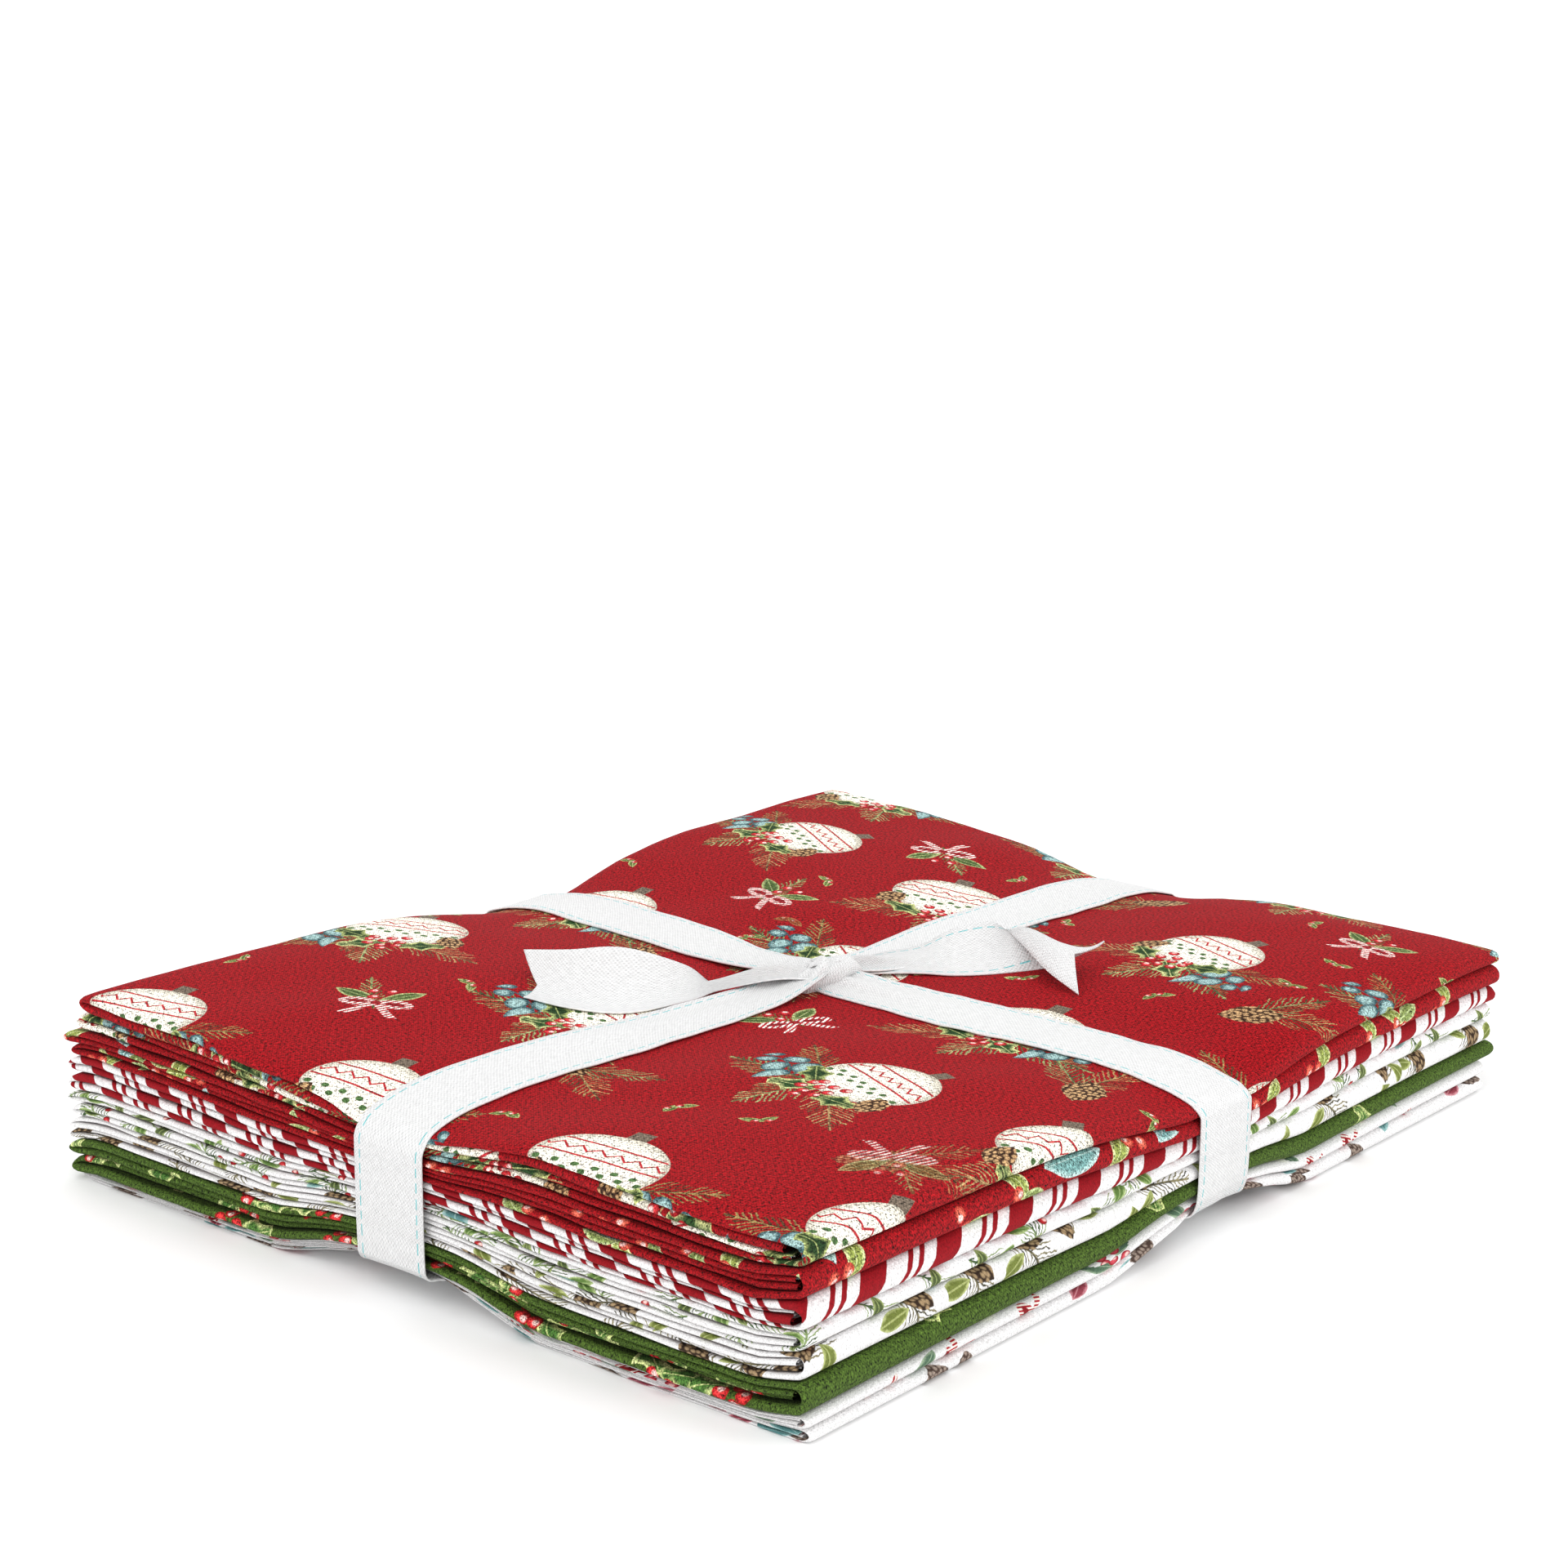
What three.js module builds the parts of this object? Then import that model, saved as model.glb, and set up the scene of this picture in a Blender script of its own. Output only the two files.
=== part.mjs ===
// A bundle of eight folded one-yard cuts of quilting cotton, tied both ways with a woven tape.
//
// Millimetres, +Z up. The origin is the middle of the underside. X runs along the passes of each
// cut, Y runs along its folds. Everything is first built as a straight parcel, with its underside
// at z = 0, and settle() then moves each vertex to where the tied cloth lies: thinner at one
// corner, drawn in under the tape and arched where the tape lifts the lowest cut.

import * as THREE from "three";

// Driving sizes of the straight parcel
const HALF_X = 115;
const HALF_Y = 142;
const PASS = 0.98; // one pass is a strip of four cloth layers
const PASS_GAP = 0.3; // air between the passes of a cut
const CUT_HEIGHT = 4 * PASS + 3 * PASS_GAP;
const CUT_COUNT = 8;
const STACK = CUT_HEIGHT * CUT_COUNT;
const AIR = 0.34; // air left between neighbouring pieces

// Tape
const TAPE_WIDTH = 21;
const TAPE = 1.0;
const TAPE_NECK = 0.5; // share of the width left where the tape enters the knot
const NECK_END = 9.3; // where an arm of the tape ends, from the middle of the knot
const BRIDGE = 2.4; // rise of the tape off the cloth at the knot
const END_CLEAR = 1.3; // the lengthwise wrap stands this far off the folded edges
const KNOT = { halfX: 8.2, halfY: 7.7, halfZ: 3.6, lift: 4.2, around: 12, down: 8 };
const TAIL = { length: 76, notch: 8, full: 0.45, lengthwise: 12, across: 4 };
const BEND_STEPS = 4; // facets of a turn of the tape or a fold of the cloth
const WRAP_STEPS = 5; // facets round the outside of a cut's fat edge

// Where each arm of the tape leaves the top, off the parcel's middle lines
const KNOT_AT = { x: 9.3, y: -8 };
const ARM_AT = { minusX: 13.4, plusX: 12, minusY: -4.7, plusY: 4.8 };

// How far the tape draws the top down at each edge, and lifts the underside
const DIP = { minusX: 9.5, plusX: 6, minusY: 2.5, plusY: 6, middle: 2.8 };
const ARCH = { minusX: 3.2, plusX: 5.6, minusY: 6.4, plusY: 3.6, middle: 3.3 };
const DIP_FLAT = 11; // half of the width that lies level under the tape
const DIP_FALL = 26;
const ARCH_SPAN = 45; // the underside is flat farther out than this
const ARM_POWER = 1.6; // how late the pull of the tape grows towards the edge
const CROWN_POWER = 6; // how late the swell of the top falls off towards the edge
const BOW = 0.01; // bow of a section while it is extruded, per mm
const SHOULDER = { rise: 2.4, start: 92 }; // rounding of the top just before the tape turns down

// Grid lines that all the cloth shares, so that stacked runs keep their gap once settled
const INNER_LINES = [-ARCH_SPAN, -DIP_FLAT, DIP_FLAT, ARCH_SPAN];
const FOLD_LINE = -HALF_X + 7; // the two small folds of each cut start here
const RAW_LINE = HALF_X - 10; // its two raw ends lie here, inside the wrap
const WRAP_LINE = HALF_X - 3.4; // and its outer wrap starts here
const END_LINE = HALF_Y - 5;
const ROWS = [-HALF_Y, -END_LINE, ...INNER_LINES, END_LINE, HALF_Y];

// Height of the stack at its four corners, and how far the top swells near each
const CORNERS = [
  { name: "left", x: -1, y: -1, height: 48.5, crown: 1.6 },
  { name: "front", x: 1, y: -1, height: 43.5, crown: 1.5 },
  { name: "right", x: 1, y: 1, height: 35, crown: 4 },
  { name: "back", x: -1, y: 1, height: 41.5, crown: 2 },
];

// From the lowest cut up: its share of the height at each corner, and how far its ends stop short
const CUTS = [
  { name: "cut_8_white_grey", colour: 0xe9e7e2, left: 3.4, front: 4.6, right: 4.4, back: 5,
    shortMinusX: 5.0, shortPlusX: 0.4, shortMinusY: 1.5, shortPlusY: 4.5 },
  { name: "cut_7_white_berries", colour: 0xeceae6, left: 3.2, front: 3.2, right: 3.8, back: 5,
    shortMinusX: 3.0, shortPlusX: 0.8, shortMinusY: 1.2, shortPlusY: 4.0 },
  { name: "cut_6_green_holly", colour: 0x38591f, left: 7.0, front: 7.2, right: 4.6, back: 5,
    shortMinusX: 0.4, shortPlusX: 0.2, shortMinusY: 0.4, shortPlusY: 1.0 },
  { name: "cut_5_white_cones", colour: 0xf0eeea, left: 5.6, front: 6.6, right: 5.4, back: 5,
    shortMinusX: 0.1, shortPlusX: 0.6, shortMinusY: 0.8, shortPlusY: 2.4 },
  { name: "cut_4_white_sprigs", colour: 0xf1efeb, left: 7.0, front: 4.6, right: 4.6, back: 5,
    shortMinusX: 0.0, shortPlusX: 0.9, shortMinusY: 1.0, shortPlusY: 2.8 },
  { name: "cut_3_candy_stripe", colour: 0xc9767f, left: 7.8, front: 7.2, right: 4.4, back: 5,
    shortMinusX: 1.4, shortPlusX: 0.5, shortMinusY: 0.6, shortPlusY: 1.2 },
  { name: "cut_2_red_leaves", colour: 0xa3121d, left: 6.4, front: 6.8, right: 5.2, back: 5,
    shortMinusX: 1.0, shortPlusX: 0.0, shortMinusY: 0.0, shortPlusY: 0.6 },
  { name: "cut_1_red_ornaments", colour: 0xa8141f, left: 8.4, front: 5.0, right: 4.0, back: 5,
    shortMinusX: 5.0, shortPlusX: 0.7, shortMinusY: 1.4, shortPlusY: 0.0 },
];

const clamp01 = (value) => Math.min(Math.max(value, 0), 1);

// How much of the dip under the tape is felt at this offset from the tape's middle line
function troughShare(offset) {
  const beyond = Math.max(Math.abs(offset) - DIP_FLAT, 0) / DIP_FALL;
  return 1 / (1 + beyond * beyond);
}

// The same for the arch that the tape lifts in the underside
function archShare(offset) {
  const beyond = Math.max(Math.abs(offset) - DIP_FLAT, 0) / (ARCH_SPAN - DIP_FLAT);
  return (1 - clamp01(beyond) ** 2) ** 2;
}

// Grows from the middle value to the edge value along an arm
function alongArm(reach, middle, edge) {
  return middle + (edge - middle) * Math.min(Math.abs(reach), 1) ** ARM_POWER;
}

function softMax(a, b) {
  return Math.cbrt(a ** 3 + b ** 3);
}

// A value given at each corner, mixed for a place in between
function cornerMix(x, y, valueAt) {
  const u = THREE.MathUtils.clamp(x / HALF_X, -1, 1);
  const v = THREE.MathUtils.clamp(y / HALF_Y, -1, 1);
  let total = 0;
  for (const corner of CORNERS) {
    total += valueAt(corner) * (1 + corner.x * u) * (1 + corner.y * v) / 4;
  }
  return total;
}

function undersideHeight(x, y) {
  const onX = alongArm(x / HALF_X, ARCH.middle, x < 0 ? ARCH.minusX : ARCH.plusX) * archShare(y);
  const onY = alongArm(y / HALF_Y, ARCH.middle, y < 0 ? ARCH.minusY : ARCH.plusY) * archShare(x);
  return softMax(onX, onY);
}

function shoulder(distance, half) {
  const start = SHOULDER.start / HALF_X * half;
  return SHOULDER.rise * clamp01((Math.abs(distance) - start) / (half - start)) ** 2;
}

function topHeight(x, y) {
  const dipX = alongArm(x / HALF_X, DIP.middle, x < 0 ? DIP.minusX : DIP.plusX) + shoulder(x, HALF_X);
  const dipY = alongArm(y / HALF_Y, DIP.middle, y < 0 ? DIP.minusY : DIP.plusY) + shoulder(y, HALF_Y);
  const dip = softMax(dipX * troughShare(y), dipY * troughShare(x));
  const inward = (distance, half) => 1 - clamp01(Math.abs(distance) / half) ** CROWN_POWER;
  const swell = inward(x, HALF_X) * inward(y, HALF_Y);
  return cornerMix(x, y, (corner) => corner.height + corner.crown * swell) - dip;
}

// Real height of the boundary under the cut with this index, as a share of the stack
function boundaryShare(index, x, y) {
  let below = 0;
  let all = 0;
  CUTS.forEach((cut, place) => {
    const share = cornerMix(x, y, (corner) => cut[corner.name]);
    all += share;
    if (place < index) below += share;
  });
  return below / all;
}

// A height in the straight parcel to the real one. The air between two cuts keeps its height, and so
// does the distance above and below the stack.
function settledHeight(x, y, z) {
  const bottom = undersideHeight(x, y);
  const top = topHeight(x, y);
  if (z <= 0) return bottom + z;
  if (z >= STACK) return top + z - STACK;
  const place = Math.min(Math.floor(z / CUT_HEIGHT), CUT_COUNT - 1);
  const low = bottom + (top - bottom) * boundaryShare(place, x, y);
  const high = bottom + (top - bottom) * boundaryShare(place + 1, x, y);
  const filled = clamp01((z - place * CUT_HEIGHT - AIR / 2) / (CUT_HEIGHT - AIR));
  return low + AIR / 2 + (high - low - AIR) * filled;
}

// The arms of the tape aren't quite on the middle lines, and the cloth creases go with them
function settle(point) {
  const { x, y, z } = point;
  const upper = clamp01(z / STACK);
  const edgeY = x < 0 ? ARM_AT.minusX : ARM_AT.plusX;
  const edgeX = y < 0 ? ARM_AT.minusY : ARM_AT.plusY;
  const reachX = clamp01(Math.abs(x) / HALF_X);
  const reachY = clamp01(Math.abs(y) / HALF_Y);
  const underY = THREE.MathUtils.lerp(ARM_AT.minusX, ARM_AT.plusX, clamp01((x / HALF_X + 1) / 2));
  const underX = THREE.MathUtils.lerp(ARM_AT.minusY, ARM_AT.plusY, clamp01((y / HALF_Y + 1) / 2));
  const overY = THREE.MathUtils.lerp(KNOT_AT.y, edgeY, reachX);
  const overX = THREE.MathUtils.lerp(KNOT_AT.x, edgeX, reachY);
  const shiftX = THREE.MathUtils.lerp(underX, overX, upper) * (1 - reachX);
  const shiftY = THREE.MathUtils.lerp(underY, overY, upper) * (1 - reachY);
  return new THREE.Vector3(x + shiftX, y + shiftY, settledHeight(x, y, z) - AIR / 2);
}

// Points of an elliptic bend from one angle to another, both ends left out
function bendPoints(centre, radiusX, radiusZ, startAngle, endAngle, pieces) {
  const points = [];
  for (let step = 1; step < pieces; step += 1) {
    const angle = startAngle + (endAngle - startAngle) * step / pieces;
    const x = centre.x + radiusX * Math.cos(angle);
    points.push(new THREE.Vector2(x, centre.z + radiusZ * Math.sin(angle)));
  }
  return points;
}

// A level run from one end to the other, with a point on each grid line in between
function levelRun(fromX, toX, z, lines) {
  const low = Math.min(fromX, toX);
  const high = Math.max(fromX, toX);
  const inner = lines.filter((line) => line > low + 0.5 && line < high - 0.5);
  inner.sort((a, b) => (toX > fromX ? a - b : b - a));
  return [fromX, ...inner, toX].map((x) => new THREE.Vector2(x, z));
}

// Section of a book-folded cut: raw end, fold, top pass, one wrap round the rest, fold, raw end
function cutSection(cut) {
  const full = CUT_HEIGHT - AIR;
  const pass = PASS * full / CUT_HEIGHT;
  const gap = (full - 4 * pass) / 3;
  const foldDepth = FOLD_LINE + HALF_X - cut.shortMinusX;
  const wrapDepth = HALF_X - cut.shortPlusX - WRAP_LINE;
  const floor = (level) => level * (pass + gap);
  const down = -Math.PI / 2;
  const up = Math.PI / 2;
  const run = (fromX, toX, z) => levelRun(fromX, toX, z, [...INNER_LINES, RAW_LINE]);
  const fold = (level) => bendPoints({ x: FOLD_LINE, z: floor(level) - gap / 2 },
    foldDepth, pass + gap / 2, up, up + Math.PI, BEND_STEPS);
  const middle = { x: WRAP_LINE, z: full / 2 };
  return [
    ...run(FOLD_LINE, WRAP_LINE, floor(0)),
    ...bendPoints(middle, wrapDepth, full / 2, down, up, WRAP_STEPS),
    ...run(WRAP_LINE, FOLD_LINE, full),
    ...fold(3),
    ...run(FOLD_LINE, RAW_LINE, floor(2)),
    ...run(RAW_LINE, FOLD_LINE, floor(2) + pass),
    ...run(FOLD_LINE, WRAP_LINE, floor(3)),
    ...bendPoints(middle, wrapDepth - pass, full / 2 - pass, up, down, BEND_STEPS),
    ...run(WRAP_LINE, FOLD_LINE, pass),
    ...run(FOLD_LINE, RAW_LINE, floor(1)),
    ...run(RAW_LINE, FOLD_LINE, floor(1) + pass),
    ...fold(1),
  ];
}

// Gives every level run the same diagonals, so that stacked runs keep their gap once settled
function matchDiagonals(geometry) {
  const position = geometry.getAttribute("position");
  const sides = geometry.groups[1];
  const read = (index) => new THREE.Vector3().fromBufferAttribute(position, index);
  for (let quad = sides.start; quad < sides.start + sides.count; quad += 6) {
    const [a, b, d, , c] = [0, 1, 2, 3, 4].map((offset) => read(quad + offset));
    if (a.x < b.x) {
      [a, b, c, a, c, d].forEach((point, offset) => {
        position.setXYZ(quad + offset, point.x, point.y, point.z);
      });
    }
  }
}

// Extrudes a section of long thin runs. It is bowed meanwhile, so that its ends are filled in
// from one grid line to the next.
function extrudeSection(section, steps) {
  const bow = (x) => BOW * x * x;
  const bowed = section.map((point) => new THREE.Vector2(point.x, point.y + bow(point.x)));
  const shape = new THREE.Shape(bowed);
  const geometry = new THREE.ExtrudeGeometry(shape, { depth: steps, steps, bevelEnabled: false });
  matchDiagonals(geometry);
  return moveVertices(geometry, (vertex) => vertex.setY(vertex.y - bow(vertex.x)));
}

function moveVertices(geometry, place) {
  const position = geometry.getAttribute("position");
  const vertex = new THREE.Vector3();
  for (let index = 0; index < position.count; index += 1) {
    const placed = place(vertex.fromBufferAttribute(position, index));
    position.setXYZ(index, placed.x, placed.y, placed.z);
  }
  geometry.computeVertexNormals();
  return geometry;
}

function cutGeometry(cut, place) {
  const geometry = extrudeSection(cutSection(cut), ROWS.length - 1);
  const base = place * CUT_HEIGHT + AIR / 2;
  return moveVertices(geometry, (vertex) => {
    let y = -ROWS[Math.round(vertex.z)];
    if (y <= -HALF_Y) y += cut.shortMinusY;
    if (y >= HALF_Y) y -= cut.shortPlusY;
    return settle(new THREE.Vector3(vertex.x, y, base + vertex.y));
  });
}

// Section of the tape round the parcel, open at the knot. It turns down in a bend of this radius,
// clear of the cloth's edge, and crossing lowers it where it passes under the other wrap.
function tapeSection({ half, last, bend, clear, crossing, extraLines }) {
  const lines = [-last, ...INNER_LINES, ...extraLines, last];
  const nearKnot = (x) => (Math.abs(x) <= DIP_FLAT ? 1 : 0);
  const lift = (x) => (Math.abs(x) > last ? clear : AIR);
  const bendX = half - bend;
  const side = (sign, thick) => {
    const reach = bend + clear + thick;
    const turn = sign * Math.PI / 2;
    const topRun = levelRun(sign * NECK_END, sign * bendX, STACK, lines);
    topRun.forEach((point) => { point.y += lift(point.x) + thick + BRIDGE * nearKnot(point.x); });
    const high = { x: sign * bendX, z: STACK - bend };
    const low = { x: sign * bendX, z: bend };
    const wall = [high.z, STACK / 2, low.z].map((z) => new THREE.Vector2(sign * (bendX + reach), z));
    return [
      ...topRun,
      ...bendPoints(high, reach, reach, Math.PI / 2, Math.PI / 2 - turn, BEND_STEPS),
      ...wall,
      ...bendPoints(low, reach, reach, Math.PI / 2 - turn, Math.PI / 2 - 2 * turn, BEND_STEPS),
    ];
  };
  const around = (thick) => {
    const under = levelRun(bendX, -bendX, 0, lines);
    under.forEach((point) => { point.y -= lift(point.x) + thick + crossing * nearKnot(point.x); });
    return [...side(1, thick), ...under, ...side(-1, thick).reverse()];
  };
  return [...around(0), ...around(TAPE).reverse()];
}

// Width of the tape, drawn together towards the knot
function tapeWidthAt(distance, z) {
  if (z < STACK / 2) return TAPE_WIDTH;
  const spread = clamp01((Math.abs(distance) - NECK_END) / (ARCH_SPAN - NECK_END));
  return TAPE_WIDTH * (TAPE_NECK + (1 - TAPE_NECK) * Math.sqrt(spread));
}

// A wrap of the tape along one route, turned to lie along X or Y of the parcel
function wrapGeometry(route, toParcel) {
  const geometry = extrudeSection(tapeSection(route), 1);
  return moveVertices(geometry, (vertex) => {
    const across = (0.5 - vertex.z) * tapeWidthAt(vertex.x, vertex.y);
    return settle(toParcel(vertex.x, across, vertex.y));
  });
}

function knotCentre() {
  const spot = settle(new THREE.Vector3(0, 0, STACK));
  spot.z += KNOT.lift;
  return spot;
}

function knotGeometry() {
  const geometry = new THREE.SphereGeometry(1, KNOT.around, KNOT.down);
  geometry.scale(KNOT.halfX, KNOT.halfY, KNOT.halfZ);
  return geometry;
}

// Places along the middle of each free end, from the middle of the knot, and how far the tape is
// rolled over on its length there, in degrees
const TAIL_LEFT = [
  { x: -4.9, y: -6, z: 1.8, roll: 0 },
  { x: -16.5, y: -21, z: 2.2, roll: -10 },
  { x: -27, y: -45, z: 4.2, roll: -25 },
  { x: -47.5, y: -54.5, z: 3.2, roll: -14 },
];
const TAIL_RIGHT = [
  { x: 4.6, y: 6.3, z: 1.6, roll: 0 },
  { x: 17, y: 23, z: 3.2, roll: 12 },
  { x: 31, y: 36, z: 3.6, roll: 23 },
  { x: 53, y: 41, z: 2.6, roll: 23 },
];

// A free end: narrow at the knot, and cut to a notch at its tip
function tailGeometry(stations) {
  const path = new THREE.CatmullRomCurve3(stations.map((s) => new THREE.Vector3(s.x, s.y, s.z)));
  const geometry = new THREE.BoxGeometry(1, TAPE_WIDTH, TAPE, TAIL.lengthwise, TAIL.across, 1);
  return moveVertices(geometry, (vertex) => {
    const edge = Math.abs(vertex.y) / (TAPE_WIDTH / 2);
    const along = vertex.x + 0.5;
    const notch = TAIL.notch / TAIL.length * (1 - edge) * along ** TAIL.lengthwise;
    const cut = clamp01(along - notch);
    const section = cut * (stations.length - 1);
    const from = Math.min(Math.floor(section), stations.length - 2);
    const roll = THREE.MathUtils.lerp(stations[from].roll, stations[from + 1].roll, section - from);
    const forward = path.getTangent(cut);
    const level = new THREE.Vector3(-forward.y, forward.x, 0).normalize();
    const across = level.applyAxisAngle(forward, THREE.MathUtils.degToRad(roll));
    const up = new THREE.Vector3().crossVectors(forward, across);
    const neck = TAPE_NECK + (1 - TAPE_NECK) * clamp01(cut / TAIL.full);
    return path.getPoint(cut).addScaledVector(across, vertex.y * neck).addScaledVector(up, vertex.z);
  });
}

function cloth(name, colour, geometry) {
  const material = new THREE.MeshStandardMaterial({ color: colour, roughness: 0.9, metalness: 0 });
  const mesh = new THREE.Mesh(geometry, material);
  mesh.name = name;
  return mesh;
}

const TAPE_COLOUR = 0xf4f3f0;
const bundle = new THREE.Group();

CUTS.forEach((cut, place) => {
  bundle.add(cloth(cut.name, cut.colour, cutGeometry(cut, place)));
});

const overFolds = {
  half: HALF_X, last: WRAP_LINE, bend: CUT_HEIGHT / 2, clear: AIR, crossing: 0,
  extraLines: [FOLD_LINE, RAW_LINE],
};
const overEnds = {
  half: HALF_Y, last: END_LINE, bend: 0, clear: END_CLEAR, crossing: TAPE + AIR,
  extraLines: [],
};
const crosswise = wrapGeometry(overFolds, (along, across, z) => new THREE.Vector3(along, across, z));
const lengthwise = wrapGeometry(overEnds, (along, across, z) => new THREE.Vector3(-across, along, z));
bundle.add(cloth("tape_wrap_crosswise", TAPE_COLOUR, crosswise));
bundle.add(cloth("tape_wrap_lengthwise", TAPE_COLOUR, lengthwise));

const knot = new THREE.Group();
knot.position.copy(knotCentre());
knot.add(cloth("tape_knot", TAPE_COLOUR, knotGeometry()));
knot.add(cloth("tape_tail_left", TAPE_COLOUR, tailGeometry(TAIL_LEFT)));
knot.add(cloth("tape_tail_right", TAPE_COLOUR, tailGeometry(TAIL_RIGHT)));
bundle.add(knot);

export default bundle;
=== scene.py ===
import math

import bpy
import numpy as np
from mathutils import Euler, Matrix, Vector


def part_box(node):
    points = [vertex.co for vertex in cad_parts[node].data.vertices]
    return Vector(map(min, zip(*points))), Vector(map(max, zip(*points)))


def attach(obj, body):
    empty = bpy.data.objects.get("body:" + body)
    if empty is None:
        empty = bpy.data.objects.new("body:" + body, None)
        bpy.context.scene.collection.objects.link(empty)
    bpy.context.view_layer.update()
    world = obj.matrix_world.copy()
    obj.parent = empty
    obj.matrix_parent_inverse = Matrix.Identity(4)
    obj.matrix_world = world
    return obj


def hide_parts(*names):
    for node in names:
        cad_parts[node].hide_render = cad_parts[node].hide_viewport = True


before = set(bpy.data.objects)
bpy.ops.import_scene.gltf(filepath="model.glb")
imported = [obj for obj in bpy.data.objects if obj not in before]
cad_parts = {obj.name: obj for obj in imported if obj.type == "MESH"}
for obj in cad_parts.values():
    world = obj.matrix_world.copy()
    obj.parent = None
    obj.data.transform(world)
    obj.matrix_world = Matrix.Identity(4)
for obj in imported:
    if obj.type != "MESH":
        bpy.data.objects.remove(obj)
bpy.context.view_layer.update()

bl_info = {
    "name": "Tied bundle of yard cuts",
    "version": (1, 0, 0),
    "blender": (4, 5, 0),
    "location": "View3D > Sidebar > Bundle",
    "description": "Folds eight printed cotton cuts, stacks them and ties them with a woven tape",
    "category": "Add Mesh",
}

MM = 0.001

# From the lowest cut up, with the CAD node that each one fills
CUT_NODES = [
    "cut_8_white_grey",
    "cut_7_white_berries",
    "cut_6_green_holly",
    "cut_5_white_cones",
    "cut_4_white_sprigs",
    "cut_3_candy_stripe",
    "cut_2_red_leaves",
    "cut_1_red_ornaments",
]
HALF_X = max(-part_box(node)[0].x for node in CUT_NODES) / MM  # half of a cut's pass
HALF_Y = max(-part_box(node)[0].y for node in CUT_NODES) / MM  # half of its folded width

# Everything below is in millimetres. The cloth is laid out as a straight parcel of even cuts and
# then settled, in the way and nearly with the values that shaped the CAD solids.
STACK = 38.56  # height of the straight parcel
CORNERS = {"left": (-1, -1), "front": (1, -1), "right": (1, 1), "back": (-1, 1)}
HEIGHTS = {"left": 49.0, "front": 45.0, "right": 37.2, "back": 41.5}
CROWNS = {"left": 1.6, "front": 1.5, "right": 4.0, "back": 2.0}  # swell of the top near each
CROWN_POWER = 6  # how late that swell falls off towards the edge
# How the cuts share the height at each corner, from the lowest up
SHARES = {
    "left": (1.1, 1.4, 9.4, 5.2, 6.6, 9.2, 6.2, 9.2),
    "front": (2.0, 2.1, 7.6, 5.8, 6.2, 5.4, 7.8, 8.2),
    "right": (4.0, 3.9, 4.4, 6.0, 4.4, 4.1, 5.2, 3.4),
    "back": (5, 5, 5, 5, 5, 5, 5, 5),
}
# They share it in another way in their fat edges, where some are wrapped loosely
EDGE_SHARES = dict(SHARES, front=(3.2, 3.4, 7.6, 6.6, 4.4, 7.2, 6.8, 5.6))
EDGE_START = 99.0
# How far the fold tips of each boundary hang down at the left, from the floor up
TIP_DROOP = (0, 0.4, 1.4, 2.3, 2.0, 1.8, 2.0, 1.6, 0.2)
TIP_REACH = 16.0
TIP_FADE = 60.0  # full this far before the middle line, and gone this far beyond it
# Places where the top is fuller than its corners say: middle, reach along x and y, and height
FULLER = [((40, -142), (17, 26), 1.7), ((60, 96), (40, 40), 0.8), ((20, 130), (60, 30), 0.9)]
# Where the knot lies, and each arm of the tape leaves the top, off the parcel's middle lines
KNOT_AT = (9.3, -8.0)
ARM_AT = {"-x": 13.4, "+x": 12.0, "-y": -3.0, "+y": 4.8}
# How far the tape draws the top down at each edge, and lifts the underside
DIP = {"-x": 9.5, "+x": 6.0, "-y": 2.5, "+y": 6.0, "middle": 2.8}
ARCH = {"-x": 3.2, "+x": 5.6, "-y": 6.4, "+y": 3.6, "middle": 3.3}
DIP_FLAT = 11.0  # half of the width that lies level under the tape
DIP_FALL = 26.0
ARCH_SPAN = 45.0  # the underside is flat farther out than this
ARM_POWER = 1.6  # how late the pull of the tape grows towards the edge
SHOULDER_RISE = 2.4  # rounding of the top just before the tape turns down
SHOULDER_START = 92.0
TUCK = 4.0  # how far the tape pulls the low edges in, under each of its arms
TUCK_REACH = 16.0
TUCK_SPAN = 14.0
TUCK_POWER = 7  # how soon that pull fades upwards
CREASE_HEIGHT = 0.42  # of the top's long waves
PUCKER_HEIGHT = 0.1  # of its short ones
PUCKERS_AWAY = 0.4  # how strong these are far from the tape, beside which they are 1 more
WRINKLE_POWER = 8  # how soon the top's waves fade downwards
ROLL = (0.9, 4)  # how far the top rounds down at its near edge, and over what reach
TAPED_ROLL = (2.6, 7)  # the same under the tape, in addition
TAPED_HALF = 15  # half of the width over which it does


def clamp01(value):
    return np.clip(value, 0.0, 1.0)


def mix(a, b, share):
    return a + (b - a) * share


def smooth(share):
    share = clamp01(share)
    return share * share * (3 - 2 * share)


def corner_mix(x, y, values):
    """A value given at each corner, mixed for the places in between."""
    u = np.clip(x / HALF_X, -1, 1)
    v = np.clip(y / HALF_Y, -1, 1)
    total = 0
    for name, (sign_x, sign_y) in CORNERS.items():
        total = total + values[name] * (1 + sign_x * u) * (1 + sign_y * v) / 4
    return total


def along_arm(reach, low_edge, high_edge, middle):
    edge = np.where(reach < 0, low_edge, high_edge)
    return middle + (edge - middle) * np.minimum(np.abs(reach), 1) ** ARM_POWER


def soft_max(a, b):
    return np.cbrt(a**3 + b**3)


def trough_share(offset):
    beyond = np.maximum(np.abs(offset) - DIP_FLAT, 0) / DIP_FALL
    return 1 / (1 + beyond**2)


def arch_share(offset):
    beyond = np.maximum(np.abs(offset) - DIP_FLAT, 0) / (ARCH_SPAN - DIP_FLAT)
    return (1 - clamp01(beyond) ** 2) ** 2


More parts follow.
